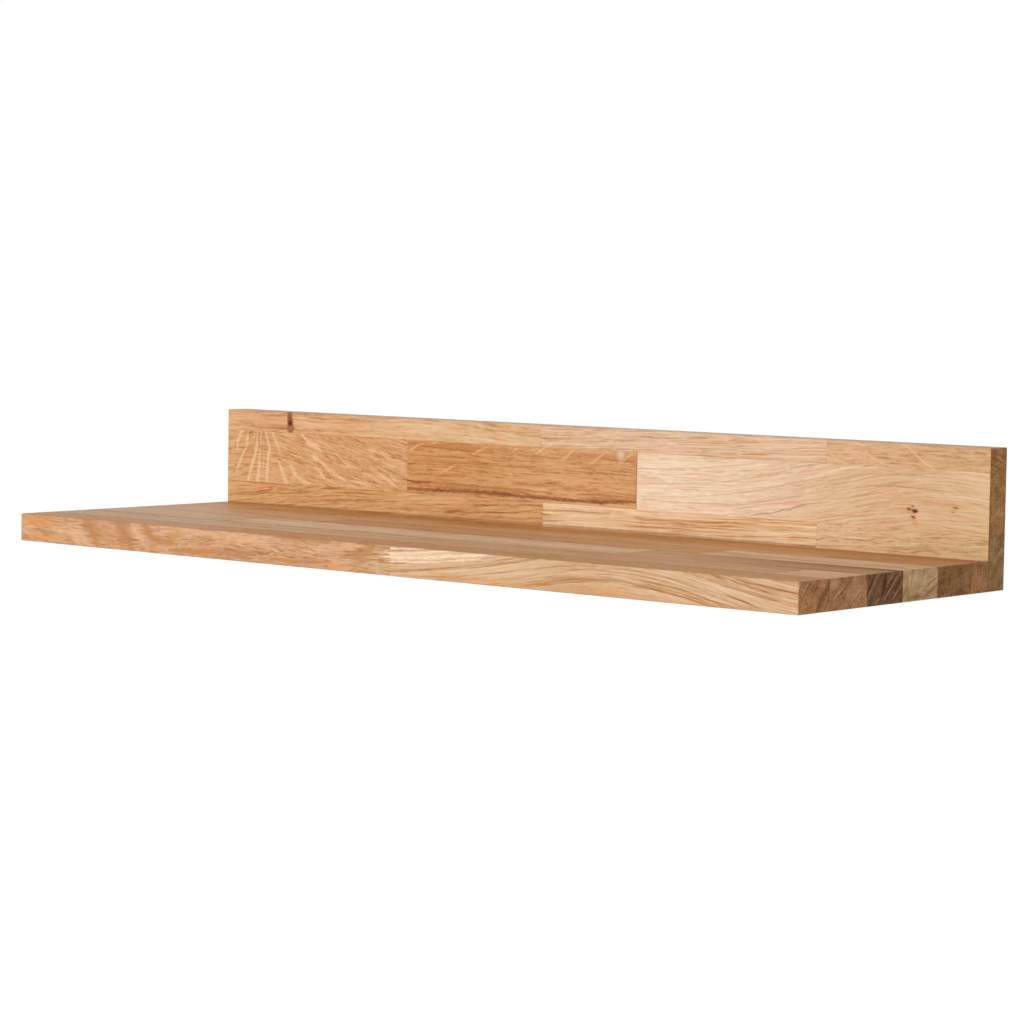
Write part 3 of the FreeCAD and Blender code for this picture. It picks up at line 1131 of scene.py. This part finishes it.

# Marks on the front edge of the shelf board, and painted shade along its lower edge

CURLY_BANDS = Figure(
    Trail((-303, -40, 19.6), (-295, -48, 22.4), (-289, -55, 21), (-284, -64, 19.6)),
    Trail((-266, -40, 28), (-257, -49, 28), (-252, -57, 25.2), (-244, -68, 25.2)),
    Trail((-233, -40, 25.2), (-229, -49, 18.2), (-222, -55, 12.6), (-196, -58, 11.2)),
    Trail((-324, -56, 9.8), (-316, -61, 11.2), (-308, -66, 9.8)),
    Trail((-358, -56, 5.6), (-346, -58, 7), (-332, -58, 5.6)),
    Trail((-204, -62, 12.6), (-170, -61.5, 11.2), (-140, -60, 12.6), (-106, -58, 14)),
    Trail((-90, -45, 9.8), (-62, -45, 9.8), (-36, -45, 9.8)),
    Trail((-20, -54, 12.6), (-4, -52, 18.2), (6, -46, 14)),
    Trail((-98, -62, 8.4), (-70, -62, 8.4), (-36, -60, 8.4)),
    strength=0.62, tone=(176, 114, 62), sway=1.8, frayed=1.2,
)
CURLY_SAND = Figure(
    Stroke((-286, -66), (-272, -44), 18),
    Stroke((-256, -56), (-238, -67), 9),
    Stroke((-212, -60), (-186, -47), 9),
    Stroke((-66, -61), (-42, -59), 5),
    strength=0.7, tone=(198, 146, 86), sway=1.8,
)
CURLY_GLOW = Figure(
    Trail((-330, -55, 16.8), (-310, -56, 24), (-298, -61, 16.8)),
    Trail((-248, -43, 14.4), (-240, -51, 16.8), (-233, -60, 14.4)),
    Trail((-223, -52, 4.8), (-213, -49.6, 6), (-204, -48, 4.8)),
    Trail((-226, -45.8, 4.8), (-210, -45.2, 6), (-190, -44.6, 4.8)),
    Trail((-190, -45, 12), (-150, -48, 15.6), (-112, -50, 14.4), (-90, -55, 12)),
    Trail((-68, -55, 9.6), (-36, -51, 14.4), (-4, -45, 12)),
    strength=0.5, tone=(230, 178, 138), sway=1.8, frayed=1.2,
)
CURLY_AMBER = Figure(
    Stroke((-388, -52), (-318, -48), 11),
    Stroke((-380, -61), (-316, -62), 7),
    Stroke((-276, -62), (-250, -62.5), 5),
    Stroke((-234, -62.4), (-212, -62.6), 4.6),
    Stroke((-196, -61), (-140, -61.6), 6),
    Stroke((-104, -62.4), (-62, -62.4), 4),
    Stroke((-60, -62), (-6, -62.4), 4.6),
    strength=0.75, tone=(220, 146, 70), sway=1.8, frayed=1.4,
)
BRIGHT_STREAKS = Figure(
    Trail((22, -46.4, 4), (34, -45.8, 2.2), (48, -44.9, 2), (64, -43.6, 2)),
    Trail((22, -49.8, 4), (42, -48.4, 2.2), (62, -46.4, 2.4), (88, -43.8, 2)),
    Trail(
        (8, -51.4, 4), (24, -52.4, 3.2), (44, -51.6, 2.8), (62, -49.8, 2.6), (84, -47.4, 3),
        (102, -45.8, 3), (124, -43.6, 2.4),
    ),
    Trail((22, -55.6, 3), (44, -54.6, 2.2), (64, -53.2, 2.2), (86, -50.6, 2), (108, -48, 2)),
    strength=0.65, tone=(249, 224, 192), sway=0.3, soft=0.95, frayed=1.4,
)
BRIGHT_HAZE = Figure(
    Trail((20, -51, 30), (34, -51, 14), (64, -49.4, 14), (96, -46.4, 11), (126, -43.6, 8)),
    strength=0.55, tone=(240, 209, 174), sway=0.6, frayed=1.4,
)
ARCH_EMBER = Figure(
    Stroke((56, -63.4), (176, -62.4), 5),
    Stroke((196, -62.8), (252, -62.2), 4.4),
    strength=0.55, tone=(222, 154, 90), sway=0.8, frayed=1.5,
)
ARCH_LINES = Figure(
    Trail((22, -48.4, 1.3), (48, -45.6, 1.3)),
    Trail((36, -52.4, 1.2), (60, -49.4, 1.4), (72, -46, 1.1)),
    Trail((22, -61, 1.4), (60, -59.4, 1.4), (96, -55.2, 1.4), (132, -49.8, 1.4), (160, -46, 1.3)),
    Trail((64, -63.6, 1.3), (104, -59.2, 1.4), (140, -53.6, 1.4), (170, -49.2, 1.5), (196, -46.8, 1.4)),
    Trail((110, -63.6, 1.4), (142, -58.4, 1.4), (172, -53.4, 1.5), (200, -49.8, 1.5)),
    Trail(
        (148, -63.6, 1.4), (172, -59, 1.5), (200, -55, 1.5), (232, -54, 1.4), (262, -57, 1.4),
        (290, -63, 1.3),
    ),
    Trail(
        (196, -46.8, 1.5), (226, -45.8, 1.8), (250, -46.8, 2), (272, -49.6, 1.9), (292, -54, 1.9),
        (308, -58, 1.8), (332, -64.6, 1.5),
    ),
    Trail(
        (200, -49.8, 1.4), (230, -48.8, 1.5), (256, -50.8, 1.5), (278, -54.8, 1.5), (302, -60.4, 1.5),
        (316, -64, 1.3),
    ),
    Trail((262, -45, 1.2), (284, -48, 1.5), (306, -53, 1.8), (326, -58.4, 2.1), (346, -64, 2)),
    Trail((292, -46, 1.2), (322, -52, 1.4), (346, -57.4, 1.5), (370, -63.6, 1.4)),
    Trail((326, -56, 1.2), (350, -61.4, 1.4), (362, -64.6, 1.2)),
    Trail((330, -50.4, 1.2), (352, -54.4, 1.4), (376, -59.6, 1.4)),
    strength=0.32, tone=(160, 108, 60), sway=0.6, frayed=1.3,
)
# Darker core of the arch figure, with painted shade along the lower edge of the front
ARCH_CORE_AND_LOW_EDGE_SHADE = Figure(
    Stroke((120, -64), (270, -62), 20),
    Stroke((30, -64), (130, -62), 6),
    # Painted shade: this stroke darkens the lowest few mm of the front face along its lower edge
    Stroke((-60, -66.6), (440, -66.6), 6.4),
    strength=0.5, tone=(190, 136, 84), sway=1.5, frayed=1.2,
)
ARCH_STRIPES = Figure(
    Trail((304, -44.6, 1.4), (318, -47.6, 1.8)),
    Trail((319, -44.6, 1.6), (334, -47.8, 2), (350, -49.4, 1.6), (362, -50.6, 2), (376, -52.6, 2.2)),
    Trail((318, -56.8, 1.2), (332, -60.4, 1.8), (344, -63.8, 1.6)),
    strength=0.75, tone=(130, 76, 32), sway=0.4, frayed=0.9,
)

# Marks on the top of the shelf board

TOP_SHADOW = Figure(
    Stroke((225, -131.5), (525, -136), 24),
    Stroke((150, -130), (400, -131), 6),
    strength=0.85, tone=(112, 72, 42), face=Face.TOP, sway=2.0, soft=0.95, frayed=0.5,
)
TOP_PATCHES = Figure(
    Stroke((80, -229), (180, -230), 12),
    Stroke((150, -219), (420, -218), 9),
    strength=0.5, tone=(150, 100, 58), face=Face.TOP, sway=3.0, frayed=0.5,
)
TOP_PALE_5 = Figure(
    Trail((-420, -77, 20), (420, -77, 20)),
    strength=0.45, tone=(236, 190, 140), face=Face.TOP, sway=1.5, frayed=0.5,
)
TOP_DARK_5 = Figure(
    Trail((-420, -52, 26), (420, -52, 26)),
    strength=0.36, tone=(186, 132, 86), face=Face.TOP, sway=1.5, frayed=0.5,
)

# Marks on the end grain at the right, and painted shade along the back board's rear edge

END_DARK_1 = Figure(
    Trail((-235, -44, 1.8), (-241, -50, 2), (-247, -57, 1.8)),
    Trail((-212, -43, 6), (-218, -51, 8), (-225, -59, 8), (-231, -67, 6)),
    Trail((-213, -54, 2.6), (-217, -59, 3), (-222, -67, 3)),
    strength=0.7, tone=(122, 66, 24), face=Face.END, sway=0.6, soft=0.95,
)
END_RED_1 = Figure(
    Stroke((-233, -50), (-224, -46), 6),
    strength=0.5, tone=(206, 132, 96), face=Face.END, sway=0.6,
)
END_DARK_2 = Figure(
    Trail((-188, -44, 1.6), (-198, -52, 2.2), (-207, -58, 2), (-214, -63, 1.6)),
    Trail((-195, -44, 1.4), (-204, -50, 1.6), (-212, -57, 1.4)),
    Trail((-174, -52, 1.2), (-186, -60, 1.6), (-194, -66, 1.4)),
    strength=0.6, tone=(130, 76, 30), face=Face.END, sway=0.8,
)
END_PALE_2 = Figure(
    Stroke((-217, -49), (-201, -46), 11),
    Stroke((-213, -61), (-196, -48), 2.6),
    strength=0.6, tone=(232, 186, 128), face=Face.END, sway=0.8,
)
END_DARK_3 = Figure(
    Trail((-162, -44, 2.4), (-168, -52, 3), (-173, -59, 2.4)),
    Trail((-150, -44, 8), (-151, -52, 7), (-154, -60, 4)),
    Trail((-137, -46, 2.6), (-144, -53, 3), (-151, -60, 2.6)),
    Trail((-131, -55, 3), (-138, -62, 3.4)),
    Trail((-129, -47, 2), (-133, -51, 3), (-140, -57, 2.4)),
    strength=0.95, tone=(72, 34, 0), face=Face.END, sway=0.7, soft=0.95,
)
END_PALE_3 = Figure(
    Trail((-158, -45, 1.8), (-165, -53, 2.3), (-171, -61, 2.1)),
    Trail((-132, -45.6, 2.6), (-139, -51, 3.1), (-147, -58.4, 3.1), (-153, -63, 2.3)),
    Trail((-129, -52.6, 2.3), (-137, -59.4, 3.1), (-141, -63, 2.3)),
    Trail((-140, -45.4, 1.8), (-145, -49.6, 2.3), (-149, -54, 1.8)),
    Trail((-156, -61, 2.1), (-162, -64, 2.3)),
    strength=0.8, tone=(198, 146, 104), face=Face.END, sway=0.6, soft=0.95,
)
END_SHADE_4 = Figure(
    Trail((-86, -51, 2), (-96, -55, 2.4), (-107, -61, 2)),
    Trail((-86, -56, 2.6), (-94, -60, 4), (-104, -65, 4)),
    Stroke((-124, -64), (-100, -62.6), 6),
    Trail((-117, -46, 1.4), (-120, -57, 1.6)),
    Trail((-123, -47, 1.4), (-125, -59, 1.6)),
    strength=0.85, tone=(160, 112, 64), face=Face.END, sway=0.8,
)
END_PALE_4 = Figure(
    Stroke((-132, -53), (-102, -49), 16),
    Stroke((-104, -47), (-84, -45), 7),
    strength=0.8, tone=(240, 206, 164), face=Face.END, sway=0.8,
)
END_PALE_6 = Figure(
    Stroke((-27, -53), (-26, -66), 6),
    Stroke((-40, -50), (-37, -62), 5),
    strength=0.45, tone=(204, 134, 88), face=Face.END, sway=0.8, soft=0.95,
)
END_ARCS = Figure(
    Trail((-21, 31, 1.6), (-12, 29.6, 2), (-2, 26, 1.8)),
    Trail((-21.5, 27.4, 1.8), (-12, 25.4, 2.2), (-2, 21.6, 1.8)),
    Trail((-21, 22.8, 1.6), (-13, 20.8, 2), (-4, 17, 1.8)),
    strength=0.6, tone=(84, 52, 24), face=Face.END, sway=0.6,
)
END_FRONT = Figure(
    Trail((-21, 44, 6), (-21, -76, 6)),
    strength=0.55, tone=(158, 88, 40), face=Face.END, sway=0.6,
)
END_LOWER = Figure(
    Stroke((-24, -55), (4, -56), 20),
    strength=0.4, tone=(128, 84, 48), face=Face.END,
)
# Painted shade: the back board's end grain darker along its rear edge
END_REAR_SHADE = Figure(
    Trail((1, 40, 10), (1, -70, 10)),
    strength=0.6, tone=(92, 66, 40), face=Face.END,
)

# The staves, rows from the top or the front and staves from the left

STAVES: dict[str, Grain] = {
    "back_row1_stave1": Grain(
        tone=(219, 168, 123), fade_tone=(223, 183, 141), seed=3.1, pith=(-70.0, 20.0), ring=2.6,
        arch=Arch(-40.0, 60.0, across=-7.0), wave=0.8, lines=0.22, even=0.3, pores=0.2, mottle=0.38,
        fine=0.42,
        figures=(BARK_HALO, BARK_POCKET, BARK_HEART, KNOT_GLOW),
    ),
    "back_row1_stave2": Grain(
        tone=(226, 188, 154), seed=7.7, pith=(-80.0, 25.0), ring=2.0, tilt=(0.03, 0.0), wave=0.5,
        lines=0.28, even=0.4, pores=0.16, mottle=0.35, fine=0.7, run=1.6, fibre=0.9,
    ),
    "back_row1_stave3": Grain(
        tone=(220, 177, 136), fade_tone=(211, 165, 122), end_tone=(189, 133, 83), seed=14.2,
        pith=(-70.0, 35.0), ring=3.0, lines=0.24, pores=0.28, mottle=0.42, fine=0.6, run=0.6,
        figures=(TOP_FLECKS, END_ARCS, END_FRONT, END_REAR_SHADE),
    ),
    "back_row2_stave1": Grain(
        tone=(215, 164, 115), seed=17.9, pith=(60.0, 45.0), ring=3.0, arch=Arch(-330.0, 130.0, across=36.0),
        wave=0.8, lines=0.12, pores=0.36, mottle=0.36, fine=0.7, run=0.55, fibre=1.1,
        figures=(CROSS_DASHES, FAINT_FLECKS, FAN_FLECKS),
    ),
    "back_row2_stave2": Grain(
        tone=(208, 151, 97), fade_tone=(213, 162, 110), seed=23.3, pith=(-90.0, 25.0), ring=3.0, wave=0.7,
        lines=0.14, pores=0.34, mottle=0.4, fine=0.58, run=0.8, fibre=1.1,
        figures=(RED_BAND, SOFT_STREAKS, DARK_STREAKS, SHORT_FLECKS, SEAM_LINE, SCUFF),
    ),
    "back_row2_stave3": Grain(
        tone=(241, 214, 187), fade_tone=(221, 183, 142), end_tone=(187, 135, 84), seed=31.7,
        pith=(-80.0, 30.0), ring=2.6, tilt=(0.02, 0.0), arch=Arch(330.0, 110.0, across=22.0), wave=0.6,
        lines=0.16, even=0.4, pores=0.14, mottle=0.26, fine=0.42, fibre=1.0,
        figures=(ARCH_SHADES, ARCH_GLOW, ARCH_CREASE, PIN_STAIN, PIN_SPECKS, PIN_KNOT, END_FRONT, END_REAR_SHADE),
    ),
    "back_row3_stave1": Grain(
        tone=(209, 158, 105), seed=37.1, pith=(-60.0, 50.0), ring=3.0, tilt=(0.08, 0.0), wave=0.8,
        lines=0.42, mottle=0.4, fine=0.85, fibre=1.3,
        figures=(LOW_STREAKS, LOW_GLOW, INNER_CORNER_SHADE),
    ),
    "back_row3_stave2": Grain(
        tone=(231, 193, 151), seed=42.6, pith=(-90.0, 20.0), ring=2.0, tilt=(0.02, 0.0), wave=0.4,
        lines=0.2, even=0.5, pores=0.06, mottle=0.3, fine=0.92, run=2.0,
        figures=(INNER_CORNER_SHADE,),
    ),
    "back_row3_stave3": Grain(
        tone=(222, 185, 143), fade_tone=(214, 176, 130), end_tone=(173, 131, 86), seed=47.3,
        pith=(-70.0, 45.0), ring=2.2, tilt=(0.05, 0.0), lines=0.24, even=0.3, pores=0.34, mottle=0.36,
        fine=0.6, run=0.8, fibre=0.9,
        figures=(END_FRONT, END_LOWER, END_REAR_SHADE),
    ),
    # The front staves of the shelf board have painted shade on their upper face
    "shelf_row1_stave1": Grain(
        tone=(198, 150, 111), shaded_top_tone=(206, 140, 78), seed=53.7, pith=(45.0, -40.0), ring=6.5, wave=1.4,
        lines=0.08, pores=0.2, fine=0.86, run=0.6, fibre=1.0,
        figures=(CURLY_SAND, CURLY_AMBER, CURLY_BANDS, CURLY_GLOW),
    ),
    "shelf_row1_stave2": Grain(
        tone=(209, 168, 129), shaded_top_tone=(205, 145, 83), end_tone=(200, 140, 91), seed=59.1,
        pith=(160.0, -92.0), ring=1.9, arch=Arch(222.0, 112.0, through=24.0), wave=0.3, lines=0.44,
        even=0.6, end_lines=0.15, pores=0.14, mottle=0.3, fine=0.6, fibre=1.0,
        figures=(
            ARCH_CORE_AND_LOW_EDGE_SHADE, ARCH_EMBER, BRIGHT_HAZE, ARCH_LINES, ARCH_STRIPES, BRIGHT_STREAKS, TOP_PATCHES,
            END_RED_1, END_DARK_1,
        ),
    ),
    "shelf_row2_stave1": Grain(tone=(213, 167, 124), seed=61.3, pith=(50.0, -62.0)),
    "shelf_row2_stave2": Grain(
        tone=(211, 163, 113), fade_tone=(206, 155, 105), seed=67.9, pith=(40.0, -55.0),
    ),
    "shelf_row2_stave3": Grain(
        tone=(228, 183, 137), end_tone=(196, 142, 95), seed=71.1, pith=(110.0, -140.0), ring=2.8,
        end_lines=0.15,
        figures=(END_PALE_2, END_DARK_2),
    ),
    "shelf_row3_stave1": Grain(tone=(216, 170, 127), seed=73.7, pith=(35.0, -60.0)),
    "shelf_row3_stave2": Grain(
        tone=(241, 203, 166), fade_tone=(231, 192, 152), seed=79.3, pith=(45.0, -70.0),
    ),
    "shelf_row3_stave3": Grain(
        tone=(210, 159, 111), fade_tone=(184, 132, 84), end_tone=(134, 93, 61), seed=83.9,
        pith=(150.0, -125.0), ring=3.0, lines=0.5, end_lines=0.4,
        figures=(TOP_SHADOW, END_DARK_3, END_PALE_3),
    ),
    "shelf_row4_stave1": Grain(tone=(217, 170, 127), seed=89.1, pith=(25.0, -60.0)),
    "shelf_row4_stave2": Grain(tone=(203, 150, 101), seed=97.7),
    "shelf_row4_stave3": Grain(
        tone=(230, 191, 149), end_tone=(216, 168, 123), seed=101.3, pith=(18.0, -62.0), ring=2.2,
        end_lines=0.15,
        figures=(END_PALE_4, END_SHADE_4),
    ),
    "shelf_row5_stave1": Grain(
        tone=(213, 162, 112), seed=103.9, pith=(20.0, -70.0),
        figures=(TOP_PALE_5, TOP_DARK_5),
    ),
    "shelf_row5_stave2": Grain(
        tone=(209, 154, 103), fade_tone=(204, 149, 95), seed=107.1, pith=(30.0, -60.0),
        figures=(TOP_PALE_5, TOP_DARK_5),
    ),
    "shelf_row5_stave3": Grain(
        tone=(204, 148, 96), end_tone=(158, 109, 68), seed=109.7, pith=(4.0, -70.0), ring=2.0,
        end_lines=0.2, saw=0.5,
    ),
    "shelf_row6_stave1": Grain(tone=(206, 153, 104), seed=113.3, pith=(15.0, -60.0)),
    "shelf_row6_stave2": Grain(tone=(199, 142, 90), seed=127.9, pith=(25.0, -60.0)),
    "shelf_row6_stave3": Grain(
        tone=(198, 140, 84), fade_tone=(186, 131, 80), end_tone=(181, 130, 83), seed=131.1,
        pith=(10.0, -50.0), ring=2.4, end_lines=0.2,
        figures=(END_PALE_6,),
    ),
}


def dress(node: str, material: bpy.types.Material) -> None:
    """Give every material slot of a carried-over piece one finish.

    Args:
        node: The piece's name.
        material: The finish.
    """
    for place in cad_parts[node].material_slots:
        place.material = material
    LOG.info("%s: %s", node, material.name)


@dataclass
class StaveBoard:
    """A panel of staves, named by the start of its pieces' names.

    Attributes:
        prefix: Start of the names of its staves.
        across: Frame axis across the staves on the panel's wide face.
        through: Frame axis through the panel's thickness.
    """

    prefix: str
    across: int
    through: int

    def dress(self) -> None:
        """Give each stave of the panel its own oak."""
        for node in sorted(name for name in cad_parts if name.startswith(self.prefix)):
            low, high = (corner * MM_PER_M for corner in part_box(node))
            finish = OakFinish(STAVES[node], low, high, self.across, self.through)
            dress(node, finish.build("oak_" + node))


@dataclass
class WallHangers:
    """The two keyhole plates in the rear of the back board and their screws."""

    plate_nodes: tuple[str, ...] = ("hanger_plate_left", "hanger_plate_right")
    screw_node: str = "hanger_screws"
    plate_finish: ZincFinish = ZincFinish()
    screw_finish: ZincFinish = ZincFinish(tone=(204, 196, 172), warm_tone=(190, 172, 128), roughness=0.3)

    def dress(self) -> None:
        """Give the plates and the screws their zinc."""
        plate = self.plate_finish.build("zinc_plate")
        for node in self.plate_nodes:
            dress(node, plate)
        dress(self.screw_node, self.screw_finish.build("zinc_screw"))


@dataclass
class JointDowels:
    """The dowels inside the joint of the two boards."""

    node: str = "joint_dowels"
    finish: BeechFinish = BeechFinish()

    def dress(self) -> None:
        """Give the dowels their beech."""
        dress(self.node, self.finish.build("beech_dowel"))


@dataclass
class Studio:
    """Pale floor, soft light and the camera, in metres and degrees.

    Attributes:
        floor_height: Height of the floor, well below the hanging shelf.
        floor_reach: Half the floor's side.
        floor_steps: Points of the floor's grid along a side.
        floor_finish: Finish of the floor.
        fill: Strength of the even light from all round.
        sheen: Strength of the surroundings in reflections.
        key_place: Middle of the large front lamp.
        key_size: Width and height of that lamp.
        key_power: Its power in watts.
        eye: Place of the camera.
        yaw: Turn of the camera to the left of straight ahead.
        pitch: Turn of the camera downwards.
        roll: Turn of the camera about its own line of sight.
        lens: Focal length in mm.
        sensor: Width of the sensor in mm.
    """

    floor_height: float = -0.85
    floor_reach: float = 2.2
    floor_steps: int = 9
    floor_finish: FloorFinish = FloorFinish()
    fill: float = 0.46
    sheen: float = 1.0
    key_place: Triple = (-0.9, -4.6, 0.7)
    key_size: Point = (3.0, 2.2)
    key_power: float = 135.0
    eye: Triple = (1.4694, -1.8294, 0.1339)
    yaw: float = 40.182
    pitch: float = 4.088
    roll: float = 0.889
    lens: float = 106.33
    sensor: float = 36.0

    def build(self) -> None:
        """Make the floor, the lights and the camera."""
        self._floor()
        self._world()
        self._key()
        self._camera()
        bpy.context.scene.view_settings.view_transform = "Standard"
        LOG.info("studio ready")

    @staticmethod
    def _place(name: str, data: bpy.types.ID) -> bpy.types.Object:
        """Put a mesh, lamp or camera into the scene as an object.

        Args:
            name: The object's name.
            data: What it holds.

        Returns:
            The object.
        """
        placed = bpy.data.objects.new(name, data)
        bpy.context.scene.collection.objects.link(placed)
        return placed

    def _floor(self) -> None:
        """Floor as a square grid: x and y run evenly over its reach at one height."""
        steps = np.linspace(-self.floor_reach, self.floor_reach, self.floor_steps)
        x, y = np.meshgrid(steps, steps)
        points = np.stack([x.ravel(), y.ravel(), np.full(x.size, self.floor_height)], axis=1)
        corner = np.arange(x.size).reshape(x.shape)
        faces = np.stack([corner[:-1, :-1], corner[:-1, 1:], corner[1:, 1:], corner[1:, :-1]], axis=-1)
        mesh = bpy.data.meshes.new("studio_floor")
        mesh.from_pydata(points.tolist(), [], faces.reshape(-1, 4).tolist())
        mesh.materials.append(self.floor_finish.build("studio_floor"))
        floor = self._place("studio_floor", mesh)

    def _world(self) -> None:
        """Even white surroundings that light the object less than they show."""
        world = bpy.data.worlds.new("studio")
        bpy.context.scene.world = world
        world.use_nodes = True
        graph = Graph(world.node_tree)
        mirrored = graph.ray("Is Glossy Ray") * self.sheen
        strength = graph.seen().most(mirrored).most(self.fill)
        white = graph.node("ShaderNodeBackground", {}, {"Color": WHITE, "Strength": strength})
        graph.node("ShaderNodeOutputWorld", {}, {"Surface": white})

    def _key(self) -> None:
        """Large soft lamp in front of the shelf."""
        lamp = bpy.data.lights.new("front_lamp", "AREA")
        lamp.shape = "RECTANGLE"
        lamp.size, lamp.size_y = self.key_size
        lamp.energy = self.key_power
        holder = self._place("front_lamp", lamp)
        holder.location = self.key_place
        holder.rotation_euler = (-Vector(self.key_place)).to_track_quat("-Z", "Y").to_euler()

    def _camera(self) -> None:
        """Camera at the place and angle of the photograph."""
        yaw, pitch, roll = (math.radians(turn) for turn in (self.yaw, self.pitch, self.roll))
        ahead = Vector((-math.sin(yaw) * math.cos(pitch), math.cos(yaw) * math.cos(pitch), -math.sin(pitch)))
        level = Vector((math.cos(yaw), math.sin(yaw), 0.0))
        above = level.cross(ahead)
        right = level * math.cos(roll) + above * math.sin(roll)
        up = above * math.cos(roll) - level * math.sin(roll)
        data = bpy.data.cameras.new("camera")
        data.sensor_width = self.sensor
        data.lens = self.lens
        camera = self._place("camera", data)
        turn = Matrix((right, up, -ahead)).transposed().to_4x4()
        camera.matrix_world = Matrix.Translation(self.eye) @ turn
        bpy.context.scene.camera = camera


def main() -> None:
    """Dress the boards, the hangers and the dowels, and set up the studio."""
    logging.basicConfig(level=logging.INFO, format="%(message)s")
    StaveBoard("back_", across=2, through=1).dress()
    StaveBoard("shelf_", across=1, through=2).dress()
    WallHangers().dress()
    JointDowels().dress()
    Studio().build()


if __name__ == "__main__":
    main()
